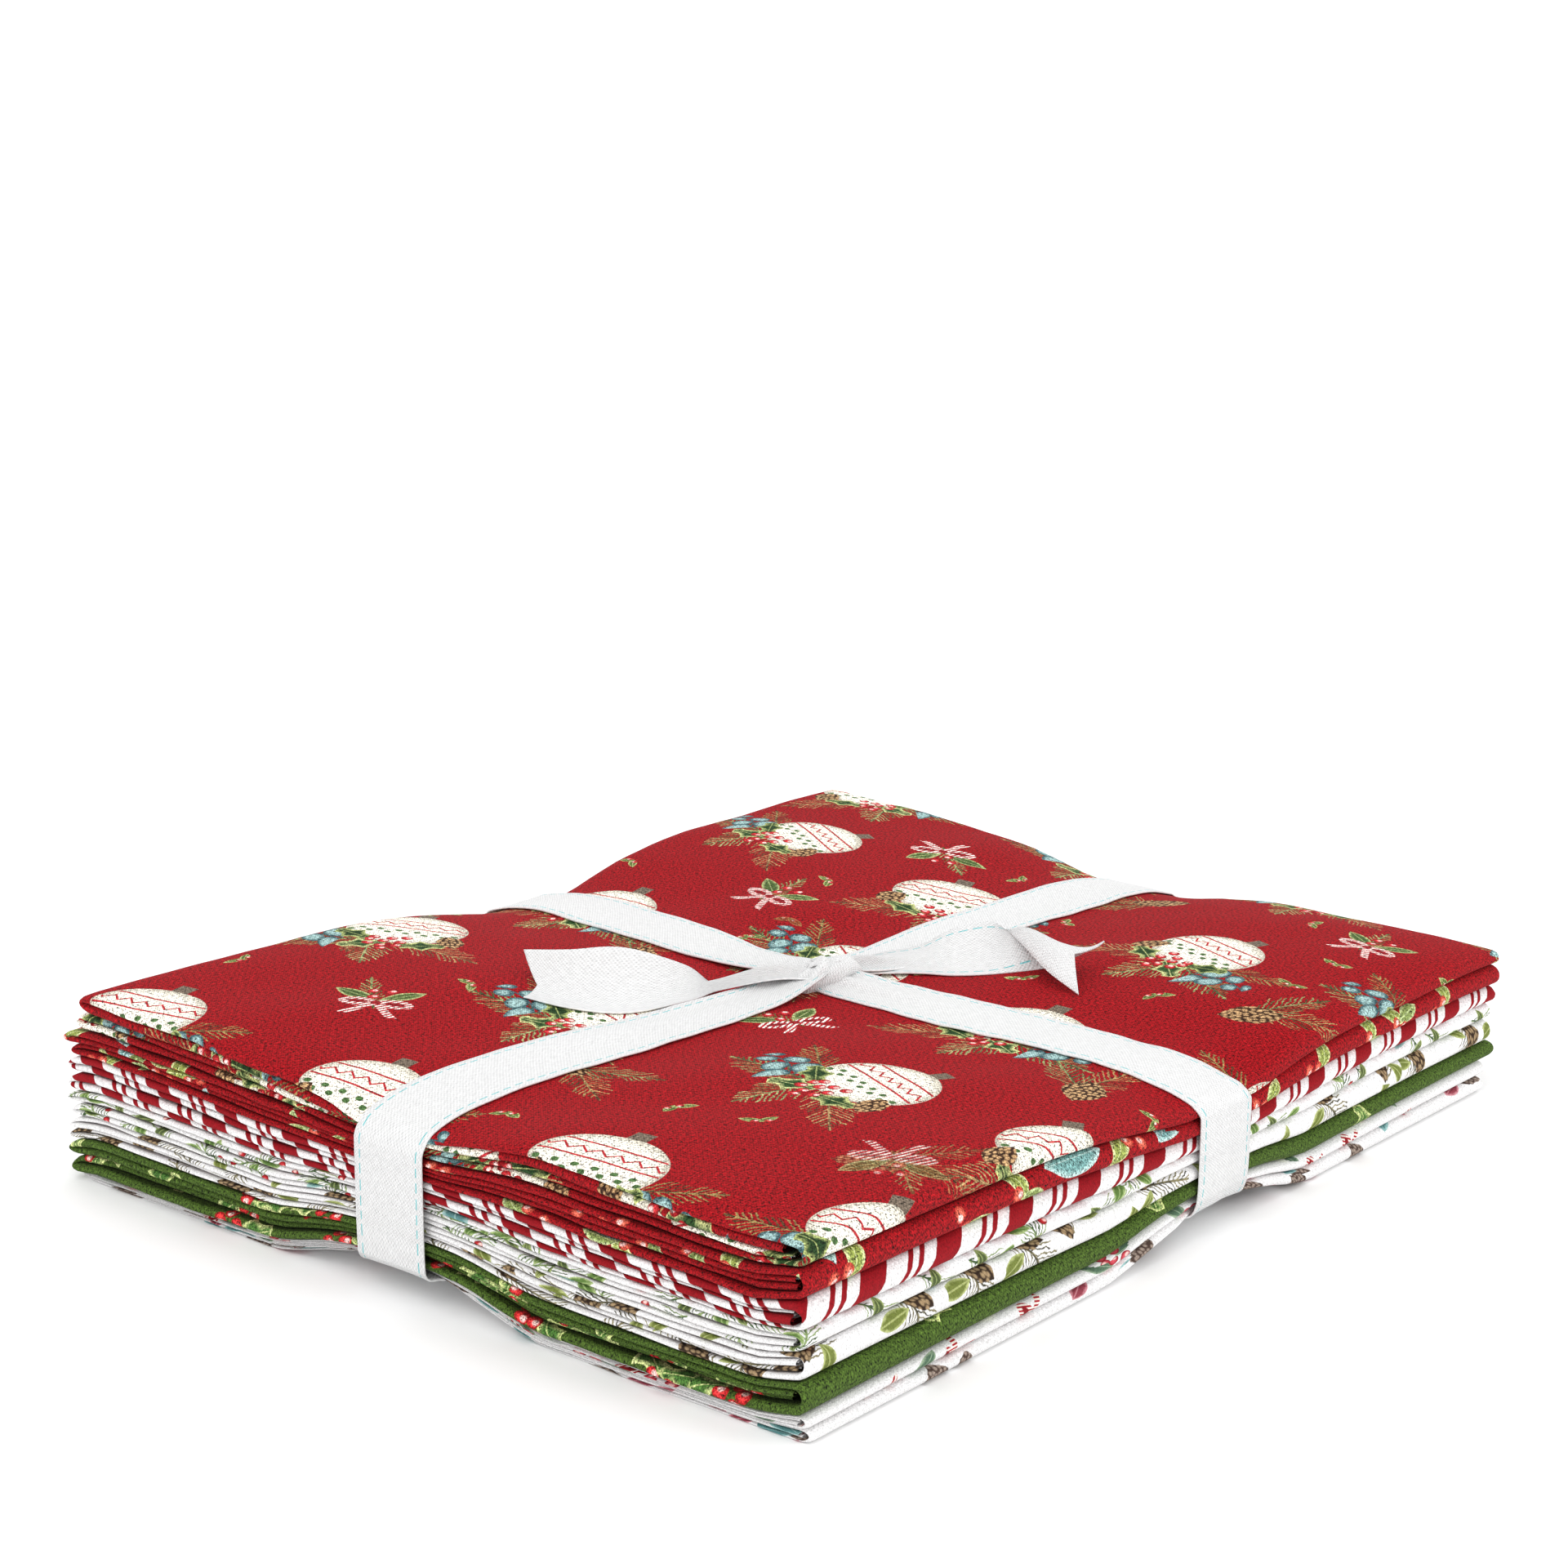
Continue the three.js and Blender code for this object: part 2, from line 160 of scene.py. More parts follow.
def underside_height(x, y):
    on_x = along_arm(x / HALF_X, ARCH["-x"], ARCH["+x"], ARCH["middle"]) * arch_share(y)
    on_y = along_arm(y / HALF_Y, ARCH["-y"], ARCH["+y"], ARCH["middle"]) * arch_share(x)
    return soft_max(on_x, on_y)


def shoulder(distance, half):
    start = SHOULDER_START / HALF_X * half
    return SHOULDER_RISE * clamp01((np.abs(distance) - start) / (half - start)) ** 2


def top_height(x, y):
    dip_x = along_arm(x / HALF_X, DIP["-x"], DIP["+x"], DIP["middle"]) + shoulder(x, HALF_X)
    dip_y = along_arm(y / HALF_Y, DIP["-y"], DIP["+y"], DIP["middle"]) + shoulder(y, HALF_Y)
    dip = soft_max(dip_x * trough_share(y), dip_y * trough_share(x))
    inward_x = 1 - clamp01(np.abs(x) / HALF_X) ** CROWN_POWER
    inward_y = 1 - clamp01(np.abs(y) / HALF_Y) ** CROWN_POWER
    swell = corner_mix(x, y, CROWNS) * inward_x * inward_y
    for (middle_x, middle_y), (reach_x, reach_y), height in FULLER:
        away = ((x - middle_x) / reach_x) ** 2 + ((y - middle_y) / reach_y) ** 2
        swell = swell + height * np.exp(-away)
    return corner_mix(x, y, HEIGHTS) + swell - dip


def boundary(index, x, y):
    """Height of the boundary under the cut with this index, counted from the lowest."""
    inner, edge = (
        corner_mix(x, y, {name: sum(row[:index]) / sum(row) for name, row in rows.items()})
        for rows in (SHARES, EDGE_SHARES)
    )
    below = mix(inner, edge, smooth((x - EDGE_START) / (HALF_X - EDGE_START)))
    bottom = underside_height(x, y)
    tip = clamp01((-x - HALF_X + TIP_REACH) / TIP_REACH) ** 2
    droop = TIP_DROOP[index] * tip * clamp01((TIP_FADE - y) / (2 * TIP_FADE))
    return bottom + (top_height(x, y) - bottom) * below - droop


def tucked(reach, offset, half, upper):
    """How far the tape pulls in a place at this reach along one of its arms."""
    at_edge = smooth((np.abs(reach) - half + TUCK_REACH) / TUCK_REACH)
    at_arm = np.exp(-((offset / TUCK_SPAN) ** 4))
    return -np.sign(reach) * TUCK * (1 - upper) ** TUCK_POWER * at_edge * at_arm


def drift(x, y, upper):
    """How far a place moves with the arms of the tape, which aren't quite on the middle lines."""
    reach_x = clamp01(np.abs(x) / HALF_X)
    reach_y = clamp01(np.abs(y) / HALF_Y)
    under_y = mix(ARM_AT["-x"], ARM_AT["+x"], clamp01((x / HALF_X + 1) / 2))
    under_x = mix(ARM_AT["-y"], ARM_AT["+y"], clamp01((y / HALF_Y + 1) / 2))
    over_y = mix(KNOT_AT[1], np.where(x < 0, ARM_AT["-x"], ARM_AT["+x"]), reach_x)
    over_x = mix(KNOT_AT[0], np.where(y < 0, ARM_AT["-y"], ARM_AT["+y"]), reach_y)
    shift_x = mix(under_x, over_x, upper) * (1 - reach_x) + tucked(x, y, HALF_X, upper)
    shift_y = mix(under_y, over_y, upper) * (1 - reach_y) + tucked(y, x, HALF_Y, upper)
    return shift_x, shift_y


class Ripple:
    """A smooth uneven surface: a few long waves that cross one another, about between -1 and 1."""

    PEAK = 1.4  # the usual peak of such a sum of waves, over the root of their number

    def __init__(self, seed, shortest, longest, waves=7):
        draw = np.random.RandomState(seed)
        length = draw.uniform(shortest, longest, waves)
        angle = draw.uniform(0, math.tau, waves)
        self.along_x = np.cos(angle) / length
        self.along_y = np.sin(angle) / length
        self.phase = draw.uniform(0, math.tau, waves)

    def at(self, x, y):
        x = np.asarray(x, float)[..., None]
        y = np.asarray(y, float)[..., None]
        waves = np.sin(math.tau * (x * self.along_x + y * self.along_y) + self.phase)
        return waves.sum(-1) / math.sqrt(len(self.phase)) / self.PEAK


TOP_CREASES = Ripple(11, 34, 90)
TOP_PUCKERS = Ripple(12, 9, 22)


def top_wrinkle(x, y):
    """Low folds of the top cloth, a little stronger beside the tape."""
    puckered = PUCKERS_AWAY + np.maximum(trough_share(x), trough_share(y))
    creases = CREASE_HEIGHT * TOP_CREASES.at(x, y)
    return creases + PUCKER_HEIGHT * puckered * TOP_PUCKERS.at(x, y)


def edge_roll(x, y):
    """How far the top cloth rounds down at its near edge, more so under the tape."""
    under_tape = np.exp(-((x / TAPED_HALF) ** 4))
    plain, taped = (drop * np.exp(-(y + HALF_Y) / reach) for drop, reach in (ROLL, TAPED_ROLL))
    return plain + under_tape * taped


# ---------------------------------------------------------------- cloth finishes

# Sockets that have to be named by their number: a Mix node's for colours, and the outputs of a
# Vector Math node and an Attribute node that give a single number
MIX_AMOUNT, MIX_BELOW, MIX_ABOVE, MIX_RESULT = 0, 6, 7, 2
VECTOR_NUMBER = 1
ATTRIBUTE_NUMBER = 2


class Value:
    """A number that varies over the cloth: a socket that Python's operators reckon with."""

    def __init__(self, dye, socket):
        self.dye = dye
        self.socket = socket

    def reckon(self, operation, *values):
        return Value(self.dye, self.dye.node("Math", {"operation": operation}, *values))

    def __add__(self, other):
        return self.reckon("ADD", self, other)

    def __sub__(self, other):
        return self.reckon("SUBTRACT", self, other)

    def __rsub__(self, other):
        return self.reckon("SUBTRACT", other, self)

    def __mul__(self, other):
        return self.reckon("MULTIPLY", self, other)

    def __neg__(self):
        return self * -1

    def __abs__(self):
        return self.reckon("ABSOLUTE", self)

    def times(self, factor, plus):
        return self.reckon("MULTIPLY_ADD", self, factor, plus)


class Dye:
    """One cloth's finish while it is made: nodes, and what is drawn on the cloth so far."""

    def __init__(self, name):
        self.material = bpy.data.materials.new(name)
        self.material.use_nodes = True
        self.tree = self.material.node_tree
        self.tree.nodes.clear()

    def node(self, kind, settings=None, *values, out=0, **named):
        """Adds a node, with its settings first and then its sockets, and gives its output."""
        node = self.tree.nodes.new("ShaderNode" + kind)
        for name, setting in (settings or {}).items():
            setattr(node, name, setting)
        placed = dict(enumerate(values))
        placed.update({name.replace("_", " "): value for name, value in named.items()})
        for key, value in placed.items():
            self.join(value, node.inputs[key])
        return node.outputs[out] if out is not None else node

    def join(self, value, socket):
        if isinstance(value, Value):
            value = value.socket
        if isinstance(value, bpy.types.NodeSocket):
            self.tree.links.new(value, socket)
        else:
            socket.default_value = value

    def value(self, socket):
        return Value(self, socket)

    def least(self, a, b):
        return a.reckon("MINIMUM", a, b)

    def most(self, a, b):
        return a.reckon("MAXIMUM", a, b)

    def sine(self, angle):
        return angle.reckon("SINE", angle)

    def part(self, value):
        """What is left of a value over the whole number below it."""
        return value.reckon("FRACT", value)

    def step(self, value, start, end):
        """0 where value is at start or before, 1 at end or beyond, and smooth between."""
        settings = {"interpolation_type": "SMOOTHSTEP"}
        return self.value(self.node("MapRange", settings, value, start, end))

    def inside(self, depth, soft):
        """1 inside an outline, given how deep a place lies in it, in millimetres."""
        return self.step(depth, -soft, soft)

    def colour(self, amount, below, above, blend="MIX"):
        """One colour over another by an amount."""
        settings = {"data_type": "RGBA", "blend_type": blend, "clamp_factor": True}
        node = self.node("Mix", settings, out=None)
        for key, value in ((MIX_AMOUNT, amount), (MIX_BELOW, below), (MIX_ABOVE, above)):
            self.join(value, node.inputs[key])
        return node.outputs[MIX_RESULT]

    def vector(self, operation, *values, out=0, **named):
        return self.node("VectorMath", {"operation": operation}, *values, out=out, **named)

    def split(self, vector):
        node = self.node("SeparateXYZ", None, vector, out=None)
        return self.value(node.outputs[0]), self.value(node.outputs[1])

    def gather(self, x, y, z=0.0):
        return self.node("CombineXYZ", None, x, y, z)

    def cloud(self, place, scale, detail, roughness=0.5):
        """Soft noise between 0 and 1."""
        settings = {"noise_dimensions": "2D"}
        noise = self.node(
            "TexNoise", settings, Vector=place, Scale=scale, Detail=detail, Roughness=roughness
        )
        return self.value(noise)


def ink(code):
    """A colour from its usual six-digit code, as a shader takes it."""
    parts = [int(code[place : place + 2], 16) / 255 for place in (0, 2, 4)]
    linear = [((p + 0.055) / 1.055) ** 2.4 if p > 0.04045 else p / 12.92 for p in parts]
    return (*linear, 1.0)


SOFT_PRINT = 0.13  # half the width over which the edge of a printed colour fades
ALONG_THREAD = 1.1  # how often the threads' colour changes along them, per millimetre
ACROSS_THREAD = 2.3  # and from one to the next
THREAD_PAIR = 0.72
CHECK_HEIGHT = 0.16  # of the weave's regular part, against the uneven one
FOLD_WEAR_AND_HIGHLIGHT = 0.12  # how much of the paler colour shows on a sharply bent fold: partly wear, partly a painted highlight
FOLD_WEAR_AND_HIGHLIGHT_TINT = (0.06, 0.055, 0.055, 1)  # what wear and a painted highlight add to the print on folds
PAINTED_FOLD_SHADE = (0.3, 0.26, 0.26, 1)  # painted shade: what is left of the print's colour deep inside the folds
PALE_WEAVE = {"speckle": 0.5, "raised": 0.6}  # a white ground hides its threads


class Cotton(Dye):
    """A printed quilting cotton. Motifs are drawn in millimetres of the flat cloth."""

    def __init__(self, name, ground):
        super().__init__(name)
        uv = self.node("UVMap", {"uv_map": "flat"})
        self.place = self.vector("SCALE", uv, Scale=1 / MM)
        self.print = (*ground, 1.0)
        self.keep = None  # where the motif that is being drawn may show
        self.wash = self.cloud(self.place, 0.5, detail=3.0, roughness=0.6)

    def lay(self, depth, colour, soft=SOFT_PRINT):
        """Prints a colour where depth, in millimetres inside the outline, is above 0."""
        amount = self.inside(depth, soft)
        if self.keep is not None:
            amount = amount * self.keep
        self.print = self.colour(amount, self.print, colour)

    def shade(self, amount, dark, light):
        return self.colour(amount, ink(dark), ink(light))

    def scatter(self, spacing, offset, spread, tilt=math.pi):
        """Where a place lies in the nearest of many scattered motifs. Keeps the centre of that
        motif, and a number between 0 and 1 that it has by chance."""
        moved = self.vector("ADD", self.place, (*offset, 0))
        cells = self.cells(moved, spacing, spread)
        local = self.vector("SUBTRACT", moved, cells.outputs["Position"])
        chances = self.node("SeparateXYZ", None, cells.outputs["Color"], out=None)
        turn_by = self.value(chances.outputs[0]).times(2 * tilt, -tilt)
        settings = {"rotation_type": "Z_AXIS"}
        self.centre = self.vector("SUBTRACT", cells.outputs["Position"], (*offset, 0))
        self.chance = self.value(chances.outputs[1])
        return self.node("VectorRotate", settings, Vector=local, Angle=turn_by)

    def cells(self, place, spacing, spread):
        settings = {"voronoi_dimensions": "2D", "feature": "F1"}
        return self.node(
            "TexVoronoi", settings, Vector=place, Scale=1 / spacing, Randomness=spread, out=None
        )

    def clear_of(self, spacing, offset, spread, distance):
        """1 where another scatter's motifs are farther than this from the centre of this one."""
        moved = self.vector("ADD", self.centre, (*offset, 0))
        gap = self.value(self.cells(moved, spacing, spread).outputs["Distance"])
        limit = distance / spacing
        return self.step(gap, limit - 0.001, limit + 0.001)

    def turned(self, motif, at, degrees):
        """A part of a motif, with its own middle and turn."""
        settings = {"vector_type": "TEXTURE"}
        turn_by = (0, 0, math.radians(degrees))
        return self.node("Mapping", settings, motif, Location=(*at, 0), Rotation=turn_by)

    def known(self, state):
        """What the mesh knows about each place of the cloth."""
        return self.value(self.node("Attribute", {"attribute_name": state}, out=ATTRIBUTE_NUMBER))

    def length(self, vector):
        return self.value(self.vector("LENGTH", vector, out=VECTOR_NUMBER))

    def half_width(self, x, length, width):
        """Half the width, at a place along it, of a shape that tapers to both its ends."""
        return (x * x).times(-2 * width / length**2, width / 2)

    def leaf(self, motif, at, degrees, length, width, dark, light, lobes=0):
        """A pointed leaf with a vein, or a holly leaf where lobes is its number of points."""
        x, y = self.split(self.turned(motif, at, degrees))
        side = abs(y)
        depth = self.half_width(x, length, width) - side
        if lobes:
            scallop = abs(self.sine(x * (math.pi * lobes / length)))
            depth = depth - scallop * (0.2 * width)
        pale = self.step(depth + self.wash * 1.6, 0.8 + 0.22 * width, 0.8)
        vein = self.step(side, 0.26, 0.08) * 0.7
        self.lay(depth, self.shade(self.most(pale, vein), dark, light))

    def blades(self, motif, at, degrees, length, width, dark, light, pitch=1.9):
        """A conifer sprig: a stem with fine slanting blades of uneven length on both sides."""
        x, y = self.split(self.turned(motif, at, degrees))
        side = abs(y)
        slant = (x - side * 1.3) * (1 / pitch) + self.wash * 1.3
        number = self.gather(slant.reckon("FLOOR", slant), y.reckon("SIGN", y))
        chance = self.value(self.node("TexWhiteNoise", {"noise_dimensions": "2D"}, Vector=number))
        blade = abs(self.part(slant) - 0.5).times(-pitch, 0.17 * pitch)
        reach = self.half_width(x, length, width) * chance.times(0.65, 0.45) - side
        stem = self.least(0.3 - side, length / 2 - abs(x))
        fill = self.shade(self.step(chance + self.wash, 0.7, 1.3), dark, light)
        self.lay(self.most(self.least(reach, blade), stem), fill, 0.14)

    def berries(self, motif, at, radius, dark="8F1519", light="D2343A", size=1.5, spacing=3.6):
        """A cluster of round berries, each with a small highlight."""
        moved = self.vector("SUBTRACT", motif, (*at, 0))
        cells = self.cells(moved, spacing, 0.55)
        within = radius - self.length(cells.outputs["Position"])
        away = self.vector("SUBTRACT", moved, cells.outputs["Position"])
        depth = size - self.length(away)
        glint = 0.42 * size - self.length(self.vector("SUBTRACT", away, (-0.4, 0.5, 0)))
        fill = self.shade(self.step(depth, 0.1, 1.0), dark, light)
        fill = self.colour(self.inside(glint, 0.25), fill, ink("F4C9C2"))
        self.lay(self.least(depth, within * 2), fill)

    def round_leaves(self, motif, at, degrees, length, size):
        """A bent stem with round leaves by turns on its two sides, smaller towards its end."""
        x, y = self.split(self.turned(motif, at, degrees))
        y = y + x * x * (0.6 / length)
        pitch = 1.8 * size
        along = self.part(x * (1 / pitch) + y.reckon("SIGN", y) * 0.25) * pitch - pitch / 2
        leaf_size = x.times(-0.7 / length, 0.82) * size
        depth = leaf_size - self.length(self.gather(along, abs(y) - leaf_size))
        ends = length / 2 - abs(x)
        pale = self.step(depth + self.wash * 1.8, 1.0, 2.6)
        vein = self.step(abs(along), 0.28, 0.06) * 0.5
        fill = self.shade(self.most(pale, vein), "35565C", "94B3B1")
        self.lay(self.least(self.most(depth, 0.25 - abs(y)), ends), fill)

    def cone(self, motif, at, degrees, length, width, dark="3A2418", light="C09A6E"):
        """A fir cone: rows of overlapping scales with pale tips."""
        x, y = self.split(self.turned(motif, at, degrees))
        depth = self.half_width(x, length, width) - abs(y)
        scales = self.cells(self.gather(x * 0.62, y), 1.15, 0.6)
        away = self.value(scales.outputs["Distance"])
        fill = self.shade(self.step(away - self.wash * 0.3, 0.42, 0.02), dark, light)
        self.lay(depth * 0.8 + (self.wash - 0.5), fill)

    def bow(self, motif, at, degrees, size):
        """A striped ribbon bow: two short ends, two round loops and the knot."""
        x, y = self.split(self.turned(motif, at, degrees))
        out = abs(x)
        stripe = self.step(self.sine((x + y) * 3.6), -0.2, 0.2)
        ribbon = self.shade(stripe, "A8232B", "EFE4DC")
        end = 0.24 * size - abs(out * 0.82 + y * 0.57)
        self.lay(self.least(end, self.least(-y, y + 1.9 * size)), ribbon)
        along = out - 1.05 * size
        self.lay(0.62 * size - self.length(self.gather(along * 0.6, y)), ribbon)
        self.lay(0.24 * size - self.length(self.gather(along * 0.4, y)), ink("86171D"))
        self.lay(0.3 * size - self.length(self.gather(x, y)), ink("8E1A20"))

    def bauble(self, motif, at, radius):
        """A round glass ornament with a cap and painted bands."""
        x, y = self.split(self.turned(motif, at, 0))
        depth = radius - self.length(self.gather(x, y * 1.12))
        self.lay(self.least(2.3 - abs(x), 2.6 - abs(y - radius)), ink("6E6154"))
        rim = self.step(depth + self.wash * 3, 1.0, 5.5)
        self.lay(depth, self.shade(rim, "B9B2A2", "F1EBDC"))
        zigzag = abs(self.part(x * 0.22) - 0.5) * 4.4
        line = 0.4 - abs(y - 5.1 + zigzag)
        bands = self.most(line, 0.34 - abs(abs(y - 4.1) - 3.4))
        self.lay(self.least(bands, depth - 0.4), ink("AD2A30"))
        leaves = self.sine(x * 1.3) * self.sine((y + 3.6) * 1.6)
        row = self.least(leaves - 0.35, 1.9 - abs(y + 3.6))
        self.lay(self.least(row, depth - 0.6), ink("4C6A3E"))

    def lit(self, light):
        """The print, darker and lighter from thread to thread."""
        return self.colour(1.0, self.print, self.gather(light, light, light), "MULTIPLY")

    def grid(self, u, v, pair):
        """The regular ups and downs of a plain weave, with two threads to a pair."""
        return self.sine(u * (math.tau / pair)) * self.sine(v * (math.tau / pair))

    def finish(self, speckle=2.1, raised=0.8):
        """The weave over the print, wear and a painted highlight on sharply bent folds, painted
        shade deep inside the folds, and the shader. speckle: how much the threads differ in
        colour. raised: how strongly they stand out."""
        u, v = self.split(self.place)
        weft = self.cloud(self.gather(u * ALONG_THREAD, v * ACROSS_THREAD), 1.0, detail=1.0)
        warp = self.cloud(self.gather(u * ACROSS_THREAD, v * ALONG_THREAD), 1.0, detail=1.0)
        relief = weft + warp + self.grid(u, v, THREAD_PAIR) * CHECK_HEIGHT
        colour = self.lit((relief - 1.0) * speckle + 1.0)
        # Wear and a painted highlight: sharply bent folds are paler.
        pale = self.colour(1.0, colour, FOLD_WEAR_AND_HIGHLIGHT_TINT, "ADD")
        colour = self.colour(self.known("bend") * FOLD_WEAR_AND_HIGHLIGHT, colour, pale)
        # Painted shade: the print darkened where the cloth lies deep inside the folds.
        shaded = self.colour(1.0, colour, PAINTED_FOLD_SHADE, "MULTIPLY")
        colour = self.colour(self.known("buried"), colour, shaded)
        bump = self.node("Bump", None, Strength=raised, Distance=0.00014, Height=relief)
        return self.shader(colour, bump, 0.9, 0.06)

    def shader(self, colour, bump, roughness, gloss):
        """The cloth's own shader, with a faint sheen."""
        shader = self.node("BsdfPrincipled", None, Normal=bump)
        self.join(colour, shader.node.inputs["Base Color"])
        shader.node.inputs["Roughness"].default_value = roughness
        shader.node.inputs["Specular IOR Level"].default_value = gloss
        shader.node.inputs["Sheen Weight"].default_value = 0.02
        shader.node.inputs["Sheen Roughness"].default_value = 0.5
        self.node("OutputMaterial", None, shader, out=None)
        return self.material


ORNAMENT_STEP = 71
# Spacing, offset and spread of the baubles, and of the cones and bows that lie between them
BAUBLES = (ORNAMENT_STEP, (0, 0), 0.24)
BETWEEN = (ORNAMENT_STEP, (8.5 * ORNAMENT_STEP, 4.5 * ORNAMENT_STEP), 0.3)


def small_twigs(cloth):
    """Two leaves and a few berries, wherever the larger motifs leave room."""
    motif = cloth.scatter(27, (131, 57), 0.5)
    cloth.keep = cloth.clear_of(*BAUBLES, 31) * cloth.clear_of(*BETWEEN, 19)
    cloth.leaf(motif, (1.6, 1.0), 28, 6.4, 2.6, "55672F", "B5BC7C")
    cloth.leaf(motif, (-1.8, 0.9), 152, 5.6, 2.4, "4C5F2C", "A9B473")
    cloth.berries(motif, (0, -0.8), 2.0, size=1.0, spacing=2.4)


def cones_and_bows(cloth):
    """A fir cone on two sprigs, or a bow on two leaves, by chance."""
    motif = cloth.scatter(*BETWEEN)
    cloth.keep = cloth.step(cloth.chance, 0.49, 0.5)
    cloth.blades(motif, (7, 4), 24, 30, 13, "4A3420", "A98A5A")
    cloth.blades(motif, (6, -4), -22, 28, 12, "3B4A2A", "8E9160")
    cloth.cone(motif, (-4, 1), 8, 17, 9.5)
    cloth.keep = cloth.keep.times(-1, 1)
    cloth.blades(motif, (2, 5), 80, 22, 8, "46562F", "98A06A")
    cloth.leaf(motif, (-6, 3), 148, 12, 4.6, "4F6231", "B3BC82")
    cloth.leaf(motif, (6, 4), 35, 13, 4.8, "475B2E", "A6B177")
    cloth.bow(motif, (0, -2), 8, 4.4)
    cloth.berries(motif, (0, 5), 3.4)


def trimmed_baubles(cloth):
    """A bauble on a bed of greenery, half of them the other way round."""
    motif = cloth.scatter(*BAUBLES, tilt=0.6)
    flip = cloth.step(cloth.chance, 0.49, 0.51).times(2, -1)
    x, y = cloth.split(motif)
    motif = cloth.gather(x * flip, y)
    cloth.keep = None
    cloth.blades(motif, (15, -12), -14, 36, 16, "34482B", "8B9763")
    cloth.blades(motif, (-12, -14), 204, 32, 15, "5A4028", "AB8D60")
    cloth.blades(motif, (3, -19), 258, 24, 15, "4C5A35", "A3A873")
    cloth.blades(motif, (22, 0), 22, 22, 11, "4A3723", "94804F")
    cloth.round_leaves(motif, (21, -8), 8, 18, 3.6)
    cloth.bauble(motif, (0, 3), 15.5)
    cloth.leaf(motif, (-8.5, -11), 158, 15, 9, "24401F", "B9BF7D", lobes=3)
    cloth.leaf(motif, (6, -14), -30, 15, 9, "2A4822", "C5C98A", lobes=3)
    cloth.leaf(motif, (11, -6), 28, 14, 8.4, "223B1D", "A3AE6C", lobes=3)
    cloth.cone(motif, (-14, -5), 62, 11, 7)
    cloth.berries(motif, (0, -11), 6.4)


def red_ornaments(dyes):
    """Red, with cream baubles on beds of greenery, fir cones, bows and small twigs."""
    cloth = Cotton("red_ornaments_cotton", dyes.red)
    small_twigs(cloth)
    cones_and_bows(cloth)
    trimmed_baubles(cloth)
    return cloth.finish()


def red_leaves(dyes):
    """Red, with pale leaves and coral berries, and larger teal leaves between them."""
    cloth = Cotton("red_leaves_cotton", dyes.red)
    motif = cloth.scatter(24, (61, 17), 0.7)
    cloth.leaf(motif, (4, 1), 20, 12, 5, "8D9A4E", "CBD39A")
    cloth.leaf(motif, (-4, 2), 150, 10, 4.4, "7F9052", "BCCB94")
    cloth.berries(motif, (0, -3), 3.4, "B23A2E", "E06A55", size=1.7)
    motif = cloth.scatter(47, (23, 88), 0.8)
    cloth.leaf(motif, (0, 0), 0, 20, 8, "6E9A98", "B9D6D2")
    return cloth.finish()


def candy_stripe(dyes):
    """White, with a broad red stripe and two thin ones, on the bias."""
    cloth = Cotton("candy_stripe_cotton", dyes.white)
    u, v = cloth.split(cloth.place)
    along = cloth.part((u - v) * (1 / 24)) * 24 + (cloth.wash - 0.5) * 0.3
    broad = 4.1 - abs(along - 6.0)
    thin = 0.85 - abs(abs(along - 16.6) - 1.8)
    cloth.lay(cloth.most(broad, thin), (*dyes.stripe_red, 1.0), 0.15)
    return cloth.finish(speckle=0.6, raised=0.6)


def green_holly(dyes):
    """Deep green, with holly leaves edged in pale green, and red berries."""
    cloth = Cotton("green_holly_cotton", dyes.green)
    motif = cloth.scatter(31, (35, 71), 0.6)
    cloth.leaf(motif, (6, 2), 20, 16, 9.6, "4B7333", "D3DB94", lobes=3)
    cloth.leaf(motif, (-5.5, 2.4), 155, 15, 9, "466E30", "C9D38A", lobes=3)
    cloth.berries(motif, (0, -3), 3.6, "A5161C", "E23A3A", size=1.9)
    return cloth.finish()


def white_cones(dyes):
    """White, with grey-brown fir cones, dark sprigs and olive leaves."""
    cloth = Cotton("white_cones_cotton", dyes.white)
    motif = cloth.scatter(22, (49, 93), 0.75)
    cloth.blades(motif, (4, 3), 30, 24, 12, "3C3A2C", "8C8462", pitch=1.6)
    cloth.leaf(motif, (-6, 4), 140, 10, 4, "6F7A3A", "B4BC7C")
    cloth.cone(motif, (-1, -3), 10, 12, 6.5, "33251B", "A38A68")
    return cloth.finish(**PALE_WEAVE)


def white_sprigs(dyes):
    """White, with green sprigs, teal leaves and small red berries."""
    cloth = Cotton("white_sprigs_cotton", dyes.white)
    motif = cloth.scatter(20, (12, 64), 0.75)
    cloth.blades(motif, (0, 0), 15, 22, 11, "35502A", "8CA06A", pitch=1.6)
    cloth.leaf(motif, (4, -3), -40, 9, 3.8, "5C7A3C", "A8BC7E")
    cloth.leaf(motif, (-5, -2), 60, 8, 3.2, "4C5A34", "98A668")
    cloth.berries(motif, (-3, 3), 2.4, size=1.2)
    motif = cloth.scatter(57, (90, 31), 0.8)
    cloth.leaf(motif, (0, 0), 0, 16, 7, "5E8C8C", "A9CCC8")
    return cloth.finish(**PALE_WEAVE)


def white_berries(dyes):
    """White, with rose berries, bows and grey-green leaves."""
    cloth = Cotton("white_berries_cotton", dyes.white)
    motif = cloth.scatter(27, (77, 21), 0.8)
    cloth.leaf(motif, (5, 0), 10, 12, 5, "55705A", "9DB296")
    cloth.berries(motif, (-2, 0), 4.6, "96232D", "D5515E", size=1.8)
    cloth.bow(motif, (-5, -6), 30, 3.4)
    return cloth.finish(**PALE_WEAVE)


